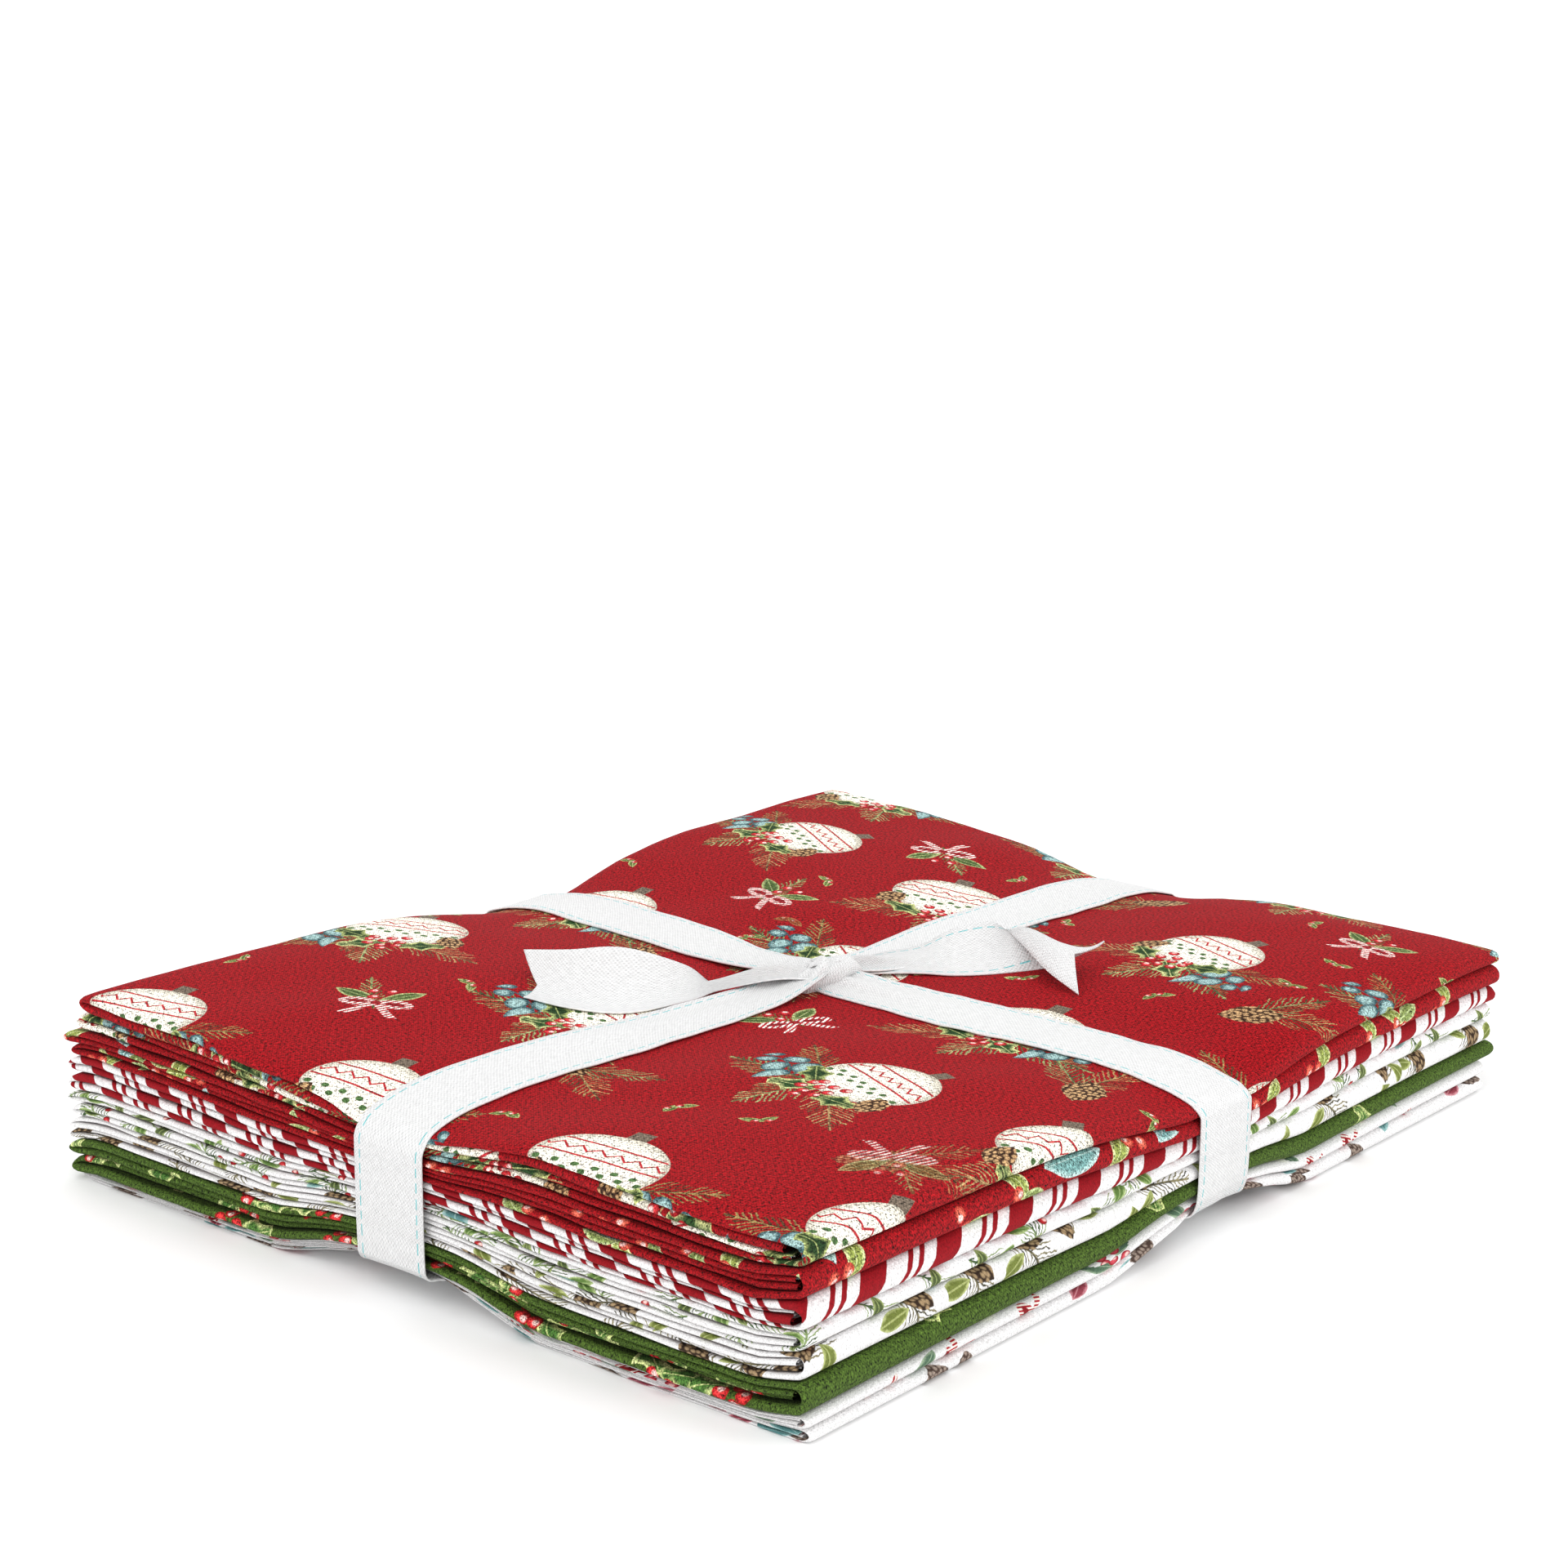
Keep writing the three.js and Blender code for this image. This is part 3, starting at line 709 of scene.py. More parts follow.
def white_grey(dyes):
    """White, with grey-brown cones, teal leaves and rose leaves."""
    cloth = Cotton("white_grey_cotton", dyes.white)
    motif = cloth.scatter(27, (19, 45), 0.8)
    cloth.cone(motif, (-3, 0), 20, 15, 8.5, "4A3A33", "9C8C80")
    cloth.leaf(motif, (7, 3), 30, 13, 6, "558686", "9AC2C0")
    cloth.leaf(motif, (5, -5), -30, 10, 4.6, "8F3F4B", "D2919A")
    return cloth.finish(**PALE_WEAVE)


COTTONS = {
    "cut_8_white_grey": white_grey,
    "cut_7_white_berries": white_berries,
    "cut_6_green_holly": green_holly,
    "cut_5_white_cones": white_cones,
    "cut_4_white_sprigs": white_sprigs,
    "cut_3_candy_stripe": candy_stripe,
    "cut_2_red_leaves": red_leaves,
    "cut_1_red_ornaments": red_ornaments,
}


DASH_PITCH = 3.6
DASH_LENGTH = 2.3
DASH_WIDTH = 0.32
DASH_INSET = 1.7  # from the tape's edge to the dashed line
TAPE_THREAD_PAIR = 0.95
RIB_PITCH = 0.5
RIB_SLANT = 0.25


def woven_tape(dyes):
    """White tape in a plain weave, with a thin dashed line along each edge of its right side."""
    cloth = Cotton("woven_tape", dyes.white)
    width = dyes.width / MM
    u, v = cloth.split(cloth.place)
    to_edge = width / 2 - abs(v - width / 2)
    from_dash = abs(cloth.part(u * (1 / DASH_PITCH)) - 0.5) * DASH_PITCH
    from_line = abs(to_edge - DASH_INSET)
    cloth.keep = cloth.known("right_side")
    dashes = cloth.least(DASH_LENGTH / 2 - from_dash, DASH_WIDTH / 2 - from_line)
    cloth.lay(dashes, (*dyes.dashes, 1.0), 0.11)
    ribs = cloth.sine((v + u * RIB_SLANT) * (math.tau / RIB_PITCH))
    uneven = cloth.cloud(cloth.gather(u * 0.5, v * 1.6), 1.0, detail=1.0)
    selvedge = cloth.step(to_edge, 0.7, 0.1) * 0.6
    relief = cloth.grid(u, v, TAPE_THREAD_PAIR) * 0.6 + ribs * 0.2 + uneven + selvedge
    colour = cloth.lit((relief - 0.5) * 0.22 + 0.97)
    bump = cloth.node("Bump", None, Strength=0.8, Distance=0.0002, Height=relief)
    return cloth.shader(colour, bump, 0.8, 0.1)


# ---------------------------------------------------------------- folded cuts

CUT_PARCEL = STACK / len(CUT_NODES)
STRIP_SHARE = 0.226  # how much of a cut's height one strip of four layers takes
INNER_LAYER = 1 / 6  # height of the two inner layers in the strip, whose outer ones are at 1/2
OUTERMOST = 0.45  # places higher than this in the strip can be seen from outside

# How each cut is folded, from the lowest up. tips: how far its lower and upper fold stop short
# of the longest one. wrap: the same for its fat edge. ends: the same for the strip's edge on each
# of its four levels. raw: how far inside the fat edge its two cut ends lie. far: its other side.
# levels: where its levels meet, as shares of its height, at the left and at the front corner.
EVEN = (0, 0.25, 0.5, 0.75, 1)
FOLDS = [
    {"tips": (5.2, 4.6), "wrap": 0.4, "ends": (2.6, 3.0, 2.4, 2.6), "raw": (2.6, 2.9), "far": 4.5},
    {"tips": (3.4, 3.0), "wrap": 0.8, "ends": (2.4, 2.0, 2.6, 1.9), "raw": (2.7, 2.5), "far": 4.0},
    {"tips": (0.5, 0.3), "wrap": 0.2, "ends": (0.5, 2.4, 0.9, 0.3), "raw": (5.0, 3.4), "far": 1.0,
     "levels": (EVEN, (0, 0.36, 0.56, 0.8, 1))},
    {"tips": (0.0, 0.4), "wrap": 0.6, "ends": (0.9, 1.6, 0.7, 1.3), "raw": (2.8, 2.6), "far": 2.4},
    {"tips": (1.2, 0.0), "wrap": 0.9, "ends": (1.3, 0.9, 1.7, 0.9), "raw": (2.9, 2.7), "far": 2.8},
    {"tips": (1.6, 1.5), "wrap": 0.5, "ends": (0.9, 0.4, 1.2, 0.5), "raw": (3.2, 3.6), "far": 1.2,
     "levels": (EVEN, (0, 0.17, 0.5, 0.63, 1))},
    {"tips": (2.8, 0.4), "wrap": 0.0, "ends": (0.3, 1.1, 0.5, 0.2), "raw": (2.9, 3.3), "far": 0.6},
    {"tips": (4.6, 6.6), "wrap": 0.7, "ends": (1.2, 1.5, 0.7, 0.4), "raw": (4.2, 6), "far": 0.0,
     "levels": ((0, 0.22, 0.46, 0.76, 1), (0, 0.2, 0.43, 0.82, 1))},
]
LEVELS = 4
LEVEL_THICK = corner_mix(HALF_X, 0, HEIGHTS) / len(FOLDS) / LEVELS
TIP_DEPTH = 4.6  # how far a small fold reaches past the place where it starts to turn
WRAP_DEPTH = 3.6  # the same for the fat edge
SIDE_DEPTH = 0.4  # and for the strip's edge at the far side
TIP_ROUND = 0.9  # below 1 a small fold is blunter than an arc
WRAP_ROUND = 0.8  # the same for the fat edge
RAW_STOP = 0.006  # how far the outer layer's raw edge stops short, as a share of the width
INNER_STOP = 0.012  # the same for the inner layers, at both of their edges
CROWDING = 0.75  # how much closer the rows of a layer stand at its edges
END_UNEVEN = 0.4  # how much each level's near edge wanders
TIP_UNEVEN = 0.5  # the same for the small folds, over a reach of TIP_UNEVEN_REACH
TIP_UNEVEN_REACH = 12
TAPE_PULL = 0.5  # how far the near edge is drawn in beside the tape
TAPE_PULL_REACH = 13
FAR_SHARE = 0.5  # how much of the near edge's steps the far edge repeats
SQUEEZE = 0.03  # how much the levels wander in height, as a share of the cut's
# Painted shade: where it starts on cloth that lies deep between other cloth, counted from each
# edge, and over what reach it is full
PAINTED_SHADE_LEFT = (2.2, 3)
PAINTED_SHADE_RIGHT = (2.0, 2)
PAINTED_SHADE_FAR = (0.3, 1.2)
PAINTED_SHADE_NEAR = (0.35, 0.9)  # in fold noses


def turn(steps):
    """Angles strictly inside a half turn."""
    return np.linspace(0, math.pi, steps + 2)[1:-1]


def strip_profile(detail):
    """Once across the strip's four layers: height in it, place from the near to the far edge,
    and how far each edge has bulged out."""
    rows = []

    def layer(level, start, end, steps):
        share = np.linspace(0, 1, steps)
        eased = 0.5 - 0.5 * np.cos(math.pi * share)
        run = start + (end - start) * mix(share, eased, CROWDING)
        rows.extend((level, value, 0.0, 0.0) for value in run)

    def bend(centre, radius, direction, edge, bulge, steps):
        for angle in turn(steps):
            out = bulge * math.sin(angle)
            height = centre + direction * radius * math.cos(angle)
            rows.append((height, edge, out * (edge == 0), out * (edge == 1)))

    outer, inner = 0.5, INNER_LAYER
    layer(-outer, 1 - RAW_STOP, 0.0, detail["hidden"])
    bend(0.0, outer, -1, 0, 1.0, detail["nose"])
    layer(outer, 0.0, 1.0, detail["shown"])
    bend(outer - inner, inner, 1, 1, 0.5, 3)
    layer(outer - 2 * inner, 1.0, INNER_STOP, detail["inside"])
    bend(0.0, outer - 2 * inner, 1, 0, 0.3, 3)
    layer(-inner, INNER_STOP, 1 - INNER_STOP, detail["inside"])
    return np.array(rows, float).T


def book_profile(detail):
    """Once along the book fold, from one cut end to the other, as rows of kind, level, and share
    of the run or angle of the fold."""
    forth = np.linspace(0, 1, detail["rows"])
    top = np.linspace(0, 1, detail["top_rows"])
    stretches = [
        ("run", 1, 1 - forth),
        ("fold", 0, turn(detail["turn"])),
        ("run", 0, forth),
        ("wrap", 0, turn(detail["wrap"])),
        ("run", 3, 1 - top),
        ("fold", 2, turn(detail["turn"])),
        ("run", 2, forth),
    ]
    return [(kind, level, value) for kind, level, values in stretches for value in values]


def faces_out(kind, level, value, index):
    """Whether a row of a cut lies on the top or the underside of the whole stack."""
    middle = math.pi / 2
    before, beyond = value < middle + 0.03, value > middle - 0.03
    upper = {"run": level == 3, "fold": level == 2 and before, "wrap": beyond}
    lower = {"run": level == 0, "fold": level == 0 and beyond, "wrap": before}
    return (index == len(FOLDS) - 1 and upper[kind]) or (index == 0 and lower[kind])


# Each of the next three gives a row's place along x, its share of the cut's height, and how far
# its near edge stops short. height: of each of its places in the strip. ends_at: a function that
# gives how far a level stops short.


def run_row(fold, level, share_of_run, height, ends_at):
    """A row where the strip lies flat."""
    start = -HALF_X + fold["tips"][level // 2] + TIP_DEPTH
    inside = fold["raw"][level - 1] if level in (1, 2) else WRAP_DEPTH
    x = mix(start, HALF_X - fold["wrap"] - inside, share_of_run) + 0 * height
    up = 1 if level in (1, 3) else -1
    share = (level + 0.5) / LEVELS + up * STRIP_SHARE * height
    return x, share, ends_at(level, x)


def tip_row(fold, level, angle, height, ends_at):
    """A row where the strip turns back in one of the two small folds at the left."""
    start = -HALF_X + fold["tips"][level // 2] + TIP_DEPTH
    share = (level + 1) / LEVELS + (0.5 / LEVELS + STRIP_SHARE * height) * math.cos(angle)
    reach = TIP_DEPTH - LEVEL_THICK * (0.5 - height)
    x = start - reach * math.sin(angle) ** TIP_ROUND
    ends = mix(ends_at(level, x), ends_at(level + 1, x), 0.5 + 0.5 * math.cos(angle))
    return x, share, ends


def wrap_row(fold, level, angle, height, ends_at):
    """A row where the strip goes from its lowest level to its highest, round the fat edge."""
    start = HALF_X - fold["wrap"] - WRAP_DEPTH
    share = 0.5 - (1.5 / LEVELS + STRIP_SHARE * height) * math.cos(angle)
    reach = WRAP_DEPTH - LEVEL_THICK * (0.5 - height)
    x = start + reach * math.sin(angle) ** WRAP_ROUND
    ends = mix(ends_at(level, x), ends_at(level + 3, x), 0.5 - 0.5 * math.cos(angle))
    return x, share, ends


ROWS = {"run": run_row, "fold": tip_row, "wrap": wrap_row}


def cut_points(index, detail, nose, air):
    """All the places of a cut's cloth in millimetres, as grids, with its flat coordinates in
    metres, how sharply it is bent, and how much painted shade it takes deep between other cloth."""
    fold = FOLDS[index]
    profile = strip_profile(detail)
    height, place, near, far = profile
    rows = book_profile(detail)
    uneven = [Ripple(100 * index + level, 14, 60) for level in range(LEVELS)]
    squeeze = Ripple(100 * index + 7, 40, 120)
    tips = Ripple(100 * index + 8, 30, 90)

    def ends_at(level, x):
        by_tape = np.exp(-(((x - ARM_AT["-y"]) / TAPE_PULL_REACH) ** 2))
        return fold["ends"][level] + END_UNEVEN * uneven[level].at(x, 0 * x) + TAPE_PULL * by_tape

    def inside(distance, margin, unit=1):
        start, reach = margin
        return smooth((distance - start * unit) / (reach * unit))

    grid = []
    for kind, level, value in rows:
        x, share, ends = ROWS[kind](fold, level, value, height, ends_at)
        near_line = -HALF_Y + ends + nose
        far_line = HALF_Y - fold["far"] - FAR_SHARE * ends - SIDE_DEPTH
        y = mix(near_line, far_line, place) - nose * near + SIDE_DEPTH * far
        # Painted shade: the cloth darkens deep inside the folds, away from every edge, but not on
        # the outermost faces.
        buried = inside(x + HALF_X - fold["tips"][level // 2], PAINTED_SHADE_LEFT)
        buried = buried * inside(HALF_X - fold["wrap"] - x, PAINTED_SHADE_RIGHT)
        buried = buried * inside(y - near_line + nose, PAINTED_SHADE_NEAR, nose)
        buried = buried * inside(far_line + SIDE_DEPTH - y, PAINTED_SHADE_FAR)
        outermost = (height > OUTERMOST) & faces_out(kind, level, value, index)
        grid.append((x, y, share, buried * ~outermost))
    x, y, share, buried = np.array(grid).swapaxes(0, 1)

    at_left = smooth((-x - HALF_X + TIP_UNEVEN_REACH) / TIP_UNEVEN_REACH)
    x = x - TIP_UNEVEN * tips.at(y, 0 * y) * at_left
    left_levels, front_levels = fold.get("levels", (EVEN, EVEN))
    toward_front = clamp01(x / (2 * HALF_X) + 0.5)
    share = mix(
        np.interp(share, EVEN, left_levels), np.interp(share, EVEN, front_levels), toward_front
    )
    share = share + SQUEEZE * squeeze.at(x, y) * np.sin(math.pi * clamp01(share))
    # How sharply each place is bent, which the cotton uses for wear and a painted highlight on
    # folds.
    folded = np.array([0.0 if kind == "run" else math.sin(value) for kind, _, value in rows])
    # The second state is the painted shade deep inside the folds.
    states = {"bend": np.maximum(folded[:, None], (near + far)[None, :]), "buried": buried}
    return settled(x, y, index, share, air), *flat_places(x, share, profile, nose), states


def flat_places(x, share, profile, nose):
    """The flat coordinates of a cut's grid in metres: along the yard, and across the cloth."""
    height, place, near, far = profile
    outer = int(np.argmax(height))
    along = np.hypot(np.diff(x[:, outer]), np.diff(share[:, outer]) * LEVELS * LEVEL_THICK)
    across = np.hypot(np.diff(place) * 2 * HALF_Y, np.diff(height) * LEVEL_THICK)
    across = across + nose * np.abs(np.diff(near)) + SIDE_DEPTH * np.abs(np.diff(far))
    flat_x = np.concatenate([[0], np.cumsum(along)])[:, None] + 0 * x
    flat_y = np.concatenate([[0], np.cumsum(across)])[None, :] + 0 * x
    return flat_x * MM, flat_y * MM


def settled(x, y, index, share, air):
    """Where a place in a cut of the straight parcel comes to lie once the bundle is tied."""
    low = boundary(index, x, y) + air / 2
    high = boundary(index + 1, x, y) - air / 2
    z = mix(low, high, share)
    bottom = underside_height(x, y)
    risen = clamp01((z - bottom) / (top_height(x, y) - bottom))
    z = z + (top_wrinkle(x, y) - edge_roll(x, y)) * risen**WRINKLE_POWER
    shift_x, shift_y = drift(x, y, (index + clamp01(share)) / len(FOLDS))
    return np.stack([x + shift_x, y + shift_y, z], axis=-1)


def sheet_mesh(name, places, flat_x, flat_y, states):
    """A piece of cloth from a grid of places, with its flat coordinates as its UV map, and what
    else is known about each place as attributes."""
    rows, columns = places.shape[:2]
    number = np.arange(rows * columns).reshape(rows, columns)
    quads = np.stack(
        [number[:-1, :-1], number[:-1, 1:], number[1:, 1:], number[1:, :-1]], axis=-1
    ).reshape(-1, 4)
    mesh = bpy.data.meshes.new(name)
    mesh.from_pydata((places.reshape(-1, 3) * MM).tolist(), [], quads.tolist())
    flat = mesh.uv_layers.new(name="flat")
    corners = quads.ravel()
    values = np.stack([flat_x.ravel()[corners], flat_y.ravel()[corners]], axis=-1)
    flat.data.foreach_set("uv", values.ravel().astype(np.float32))
    mesh.polygons.foreach_set("use_smooth", np.ones(len(quads), bool))
    for state, values in states.items():
        attribute = mesh.attributes.new(state, "FLOAT", "POINT")
        attribute.data.foreach_set("value", values.ravel().astype(np.float32))
    mesh.update()
    piece = bpy.data.objects.new(name, mesh)
    bpy.context.scene.collection.objects.link(piece)
    return piece


# How many rows and places the grid of a cut has in each of its layers and turns
CUT_DETAIL = {
    "hidden": 36, "shown": 64, "inside": 20, "nose": 7, "rows": 44, "top_rows": 52, "turn": 7,
    "wrap": 9,
}
# In the uppermost cut the inner layers follow the dips of its top as closely as the outer one
TOP_DETAIL = dict(CUT_DETAIL, hidden=72, shown=72, inside=72)


def fold_cut(index, cloth):
    """One cut of cloth, folded into its strip and its book, with its printed cotton."""
    node = CUT_NODES[index]
    detail = TOP_DETAIL if index == len(CUT_NODES) - 1 else CUT_DETAIL
    points = cut_points(index, detail, cloth.nose / MM, cloth.air / MM)
    piece = sheet_mesh(node + "_cloth", *points)
    piece.data.materials.append(COTTONS[node](cloth))
    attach(piece, "root")
    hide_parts(node)
    return piece


# ---------------------------------------------------------------- tape

TAPE_STEPS = 16  # across
ARM_STEPS = 64
WALL_STEPS = 26
TURN_STEPS = 9
TAPE_LIFT = 0.36  # from the cloth to the middle of the tape
TAPE_TURN = 3.4  # radius of its turns round the edges
LENGTHWISE_CLEAR = 0.3  # how much farther out the lengthwise band turns down
CROSSING = 1.0  # how much lower the lengthwise band passes under the crosswise one
CROSSING_REACH = 20
KNOT_MIDDLE = sum(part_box("tape_knot"), Vector()) / (2 * MM)

# How a band enters the knot
BRIDGE_REACH = 15.0
NECK = 0.42  # share of the width that shows there
NECK_START = 1.6
NECK_END = 46.0
NEAR_NECK_END = 82.0  # the same for the arm to the near left side, which stays narrow for longer
NECK_CURVE = 0.62  # below 1 the tape widens fastest beside the knot
GATHER_CURVE = 0.5
GATHER_LIFT = 0.9
GATHER_PLEAT = 1.5
LOOSE_LIFT = 0.12  # how far it stands off the cloth away from the knot
LEAN = 3.4  # how far one edge of the arm to the right leans down beside the knot
LEAN_SLOPE = 2.4
LEAN_REACH = 6


def settled_height(x, y, z):
    """Height of a place that was at height z in the straight parcel."""
    index = np.clip(np.floor(z / CUT_PARCEL), 0, len(FOLDS) - 1).astype(int)
    filled = clamp01(z / CUT_PARCEL - index)
    low, high = 0, 0
    for number in range(len(FOLDS)):
        here = index == number
        low = low + here * boundary(number, x, y)
        high = high + here * boundary(number + 1, x, y)
    above = np.maximum(z - STACK, 0) + np.minimum(z, 0)
    return mix(low, high, filled) + above


def lay_on_parcel(x, y, z):
    """A place on or round the straight parcel, moved to where it lies on the tied bundle."""
    wrinkle = top_wrinkle(x, y) - edge_roll(x, y)
    height = settled_height(x, y, z) + wrinkle * clamp01(z / STACK) ** WRINKLE_POWER
    shift_x, shift_y = drift(x, y, clamp01(z / STACK))
    return np.stack([x + shift_x, y + shift_y, height], axis=-1)


def loop_line(half):
    """The line of a band once round the parcel, from the knot over one edge, under and back:
    along, height, and the outward direction in that plane."""
    line = half - TAPE_TURN
    angle = turn(TURN_STEPS) / 2
    wall = np.linspace(STACK - TAPE_TURN, TAPE_TURN, WALL_STEPS)[1:-1]
    top = np.linspace(NECK_START, line, ARM_STEPS)
    under = np.linspace(line, 0, ARM_STEPS // 2)
    turned_out, turned_down = np.sin(angle), np.cos(angle)
    around = line + TAPE_TURN * turned_out
    down = TAPE_TURN - TAPE_TURN * turned_down
    stretches = [
        (top, STACK, 0, 1),
        (around, STACK - down, turned_out, turned_down),
        (half, wall, 1, 0),
        (around[::-1], down[::-1], turned_out[::-1], -turned_down[::-1]),
        (under, 0, 0, -1),
    ]
    side = np.hstack([np.array(np.broadcast_arrays(*values), float) for values in stretches])
    mirrored = side[:, ::-1][:, 1:] * np.array([[-1], [1], [-1], [1]])
    return np.hstack([side, mirrored])


def band_rise(across, to_knot, spread, pleat, leaning, tape):
    """How far each place of a band lies off the parcel."""
    reach = BRIDGE_REACH + LEAN_REACH * leaning
    rise = TAPE_LIFT + tape.bridge / MM * np.exp(-((to_knot / reach) ** 2))
    gathered = (1 - spread**GATHER_CURVE) * (GATHER_LIFT + GATHER_PLEAT * pleat)
    rise = rise + gathered + LOOSE_LIFT * (1 + pleat) * smooth(spread)
    lean = leaning * LEAN * (1 - spread) * clamp01(-LEAN_SLOPE * across)
    return np.maximum(rise - lean, np.minimum(rise, TAPE_LIFT))


def tape_band(name, half, to_parcel, seed, tape, lower=0.0, near_neck_end=NECK_END, leaning=0):
    """One band of the tape round the bundle, gathered where it enters the knot. lower: how much
    lower it passes under the bundle. near_neck_end: where its neck ends in the arm towards -X or
    -Y. leaning: 1 where the other arm leans to one side beside the knot."""
    line = loop_line(half)
    length = np.concatenate([[0], np.cumsum(np.hypot(*np.diff(line[:2])))])[:, None]
    along, height, out, up = line[..., None]
    across = np.linspace(-0.5, 0.5, TAPE_STEPS + 1)[None, :]
    on_top = height > STACK - 0.01
    to_knot = np.where(on_top, np.abs(along), 1000)
    neck_end = np.where(along < 0, near_neck_end, NECK_END)
    spread = clamp01((to_knot - NECK_START) / (neck_end - NECK_START))
    pleat = Ripple(seed, 0.28, 0.62, 5).at(0 * to_knot + across, 0.006 * length)
    rise = band_rise(across, to_knot, spread, pleat, leaning * (along > 0), tape)
    rise = rise + lower * (height < 0.01) * np.exp(-((along / CROSSING_REACH) ** 4))
    x = along + out * rise
    y = across * tape.width / MM * mix(NECK, 1, spread**NECK_CURVE)
    z = height + up * rise
    places = lay_on_parcel(*to_parcel(x, y, z))
    flat_x = (0 * across + length) * MM
    flat_y = (across + 0.5) * tape.width + 0 * flat_x
    return tape_piece(name, places, flat_x, flat_y, tape)


def tape_piece(name, places, flat_x, flat_y, tape):
    """A sheet of the tape with its wall, which knows the right side of the tape."""
    piece = sheet_mesh(name, places, flat_x, flat_y, {})
    finish = bpy.data.materials.get("woven_tape") or woven_tape(tape)
    piece.data.materials.append(finish)
    count = len(piece.data.vertices)
    thicken(piece, tape.thickness)
    side = piece.data.attributes.new("right_side", "FLOAT", "POINT")
    on_side = np.arange(len(piece.data.vertices)) >= count
    side.data.foreach_set("value", on_side.astype(np.float32))
    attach(piece, "root")
    return piece


def thicken(piece, thickness):
    bpy.ops.object.select_all(action="DESELECT")
    bpy.context.view_layer.objects.active = piece
    piece.select_set(True)
    wall = piece.modifiers.new("thickness", "SOLIDIFY")
    wall.thickness = thickness
    wall.offset = 0
    bpy.ops.object.modifier_apply(modifier=wall.name)


def spline(values, share):
    """A smooth line through values, at shares of its length from 0 to 1."""
    values = np.array(values, float)
    padded = np.vstack([2 * values[0] - values[1], values, 2 * values[-1] - values[-2]])
    place = np.clip(share, 0, 1) * (len(values) - 1)
    start = np.minimum(place.astype(int), len(values) - 2)
    t = (place - start)[..., None]
    a, b, c, d = (padded[start + shift] for shift in range(4))
    cubic = -a + 3 * b - 3 * c + d
    square = 2 * a - 5 * b + 4 * c - d
    return 0.5 * (2 * b + (c - a) * t + square * t**2 + cubic * t**3)


RIBBON_STEPS = 100
RIBBON_PLEAT = 1.5  # height of its pleats where it leaves the knot
NOTCH = 0.06  # depth of the notch in its end, as a share of its length
NOTCH_POWER = 14  # how close to the end the notch has its shape


def free_ribbon(name, stations, seed, tape):
    """A free length of tape, from the knot out. stations: its near edge, middle and far edge, from
    the middle of the knot, and how much it is pleated there."""
    stations = np.array(stations, float)
    share = np.linspace(0, 1, RIBBON_STEPS)[:, None]
    across = np.linspace(0, 1, TAPE_STEPS + 1)[None, :]
    share = share * (1 - NOTCH * (1 - np.abs(2 * across - 1)) * share**NOTCH_POWER)
    state = spline(stations, share)
    t = across[..., None]
    near, middle, far = state[..., 0:3], state[..., 3:6], state[..., 6:9]
    places = near * (1 - t) * (1 - 2 * t) + middle * 4 * t * (1 - t) + far * t * (2 * t - 1)
    ahead = spline(stations[:, 3:6], share + 0.01) - spline(stations[:, 3:6], share - 0.01)
    up = np.cross(ahead, far - near)
    up = up / np.maximum(np.linalg.norm(up, axis=-1, keepdims=True), 1e-6)
    pleat = Ripple(seed, 0.3, 0.7, 5).at(across, 0.3 * share)[..., None]
    places = places + up * (RIBBON_PLEAT * pleat * state[..., 9:10]) + np.array(KNOT_MIDDLE)
    middle_line = spline(stations[:, 3:6], np.linspace(0, 1, 200))
    length = np.linalg.norm(np.diff(middle_line, axis=0), axis=1).sum()
    flat_x = share * length * MM
    flat_y = across * tape.width + 0 * flat_x
    return tape_piece(name, places, flat_x, flat_y, tape)


# The two free ends, from the knot out, with the values that free_ribbon takes
TAIL_LEFT = [
    (3.3, -2.6, 0.1, 0.0, 0.0, 0.5, -3.3, 2.6, 0.1, 1),
    (-3.2, -12.6, 1.3, -5.6, -10.6, 3.1, -7.6, -9.2, 2.7, 0.8),
    (-11.2, -24.4, -0.3, -12.6, -22.9, 1.3, -13.8, -21.6, 0.6, 0.5),
    (-12.9, -32.8, -0.9, -17.6, -28.9, 0.4, -21.5, -24.9, 4.3, 0.12),
    (-17.8, -49.8, -0.7, -25.3, -43.9, 1.2, -31.7, -36.0, 9.2, 0),
    (-28.1, -58.3, 0.3, -35.7, -51.9, 1.6, -42.4, -43.9, 8.3, 0),
    (-40.5, -61.8, 1.3, -47.0, -55.6, 1.9, -54.8, -46.6, 6.3, 0),
]
TAIL_RIGHT = [
    (3.3, -2.6, 0.1, 0.0, 0.0, 0.5, -3.3, 2.6, 0.1, 1),
    (4.5, 8.5, -0.8, 2.0, 10.6, 1.4, -0.5, 12.2, 0.9, 0.9),
    (6.9, 19.3, -2.6, 3.2, 22.5, -1.0, -0.1, 26.0, -0.1, 0.5),
    (11.9, 26.3, -3.4, 7.2, 31.0, -2.2, 3.4, 36.5, -0.1, 0.2),
    (18.7, 30.3, -3.4, 12.2, 38.0, -1.7, 6.3, 46.0, 2.2, 0),
    (26.7, 37.0, -2.9, 20.5, 44.8, -0.1, 15.2, 51.0, 4.7, 0),
    (34.6, 46.9, -2.2, 26.2, 49.5, 5.6, 27.5, 45.4, 3.4, 0),
    (40.7, 51.5, 1.1, 38.2, 46.5, 4.9, 40.2, 39.2, 0.3, 0),
    (46.5, 54.7, 5.4, 48.0, 46.5, 1.7, 51.6, 36.9, -2.9, 0),
]


def declare_tape(node):
    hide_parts(node)


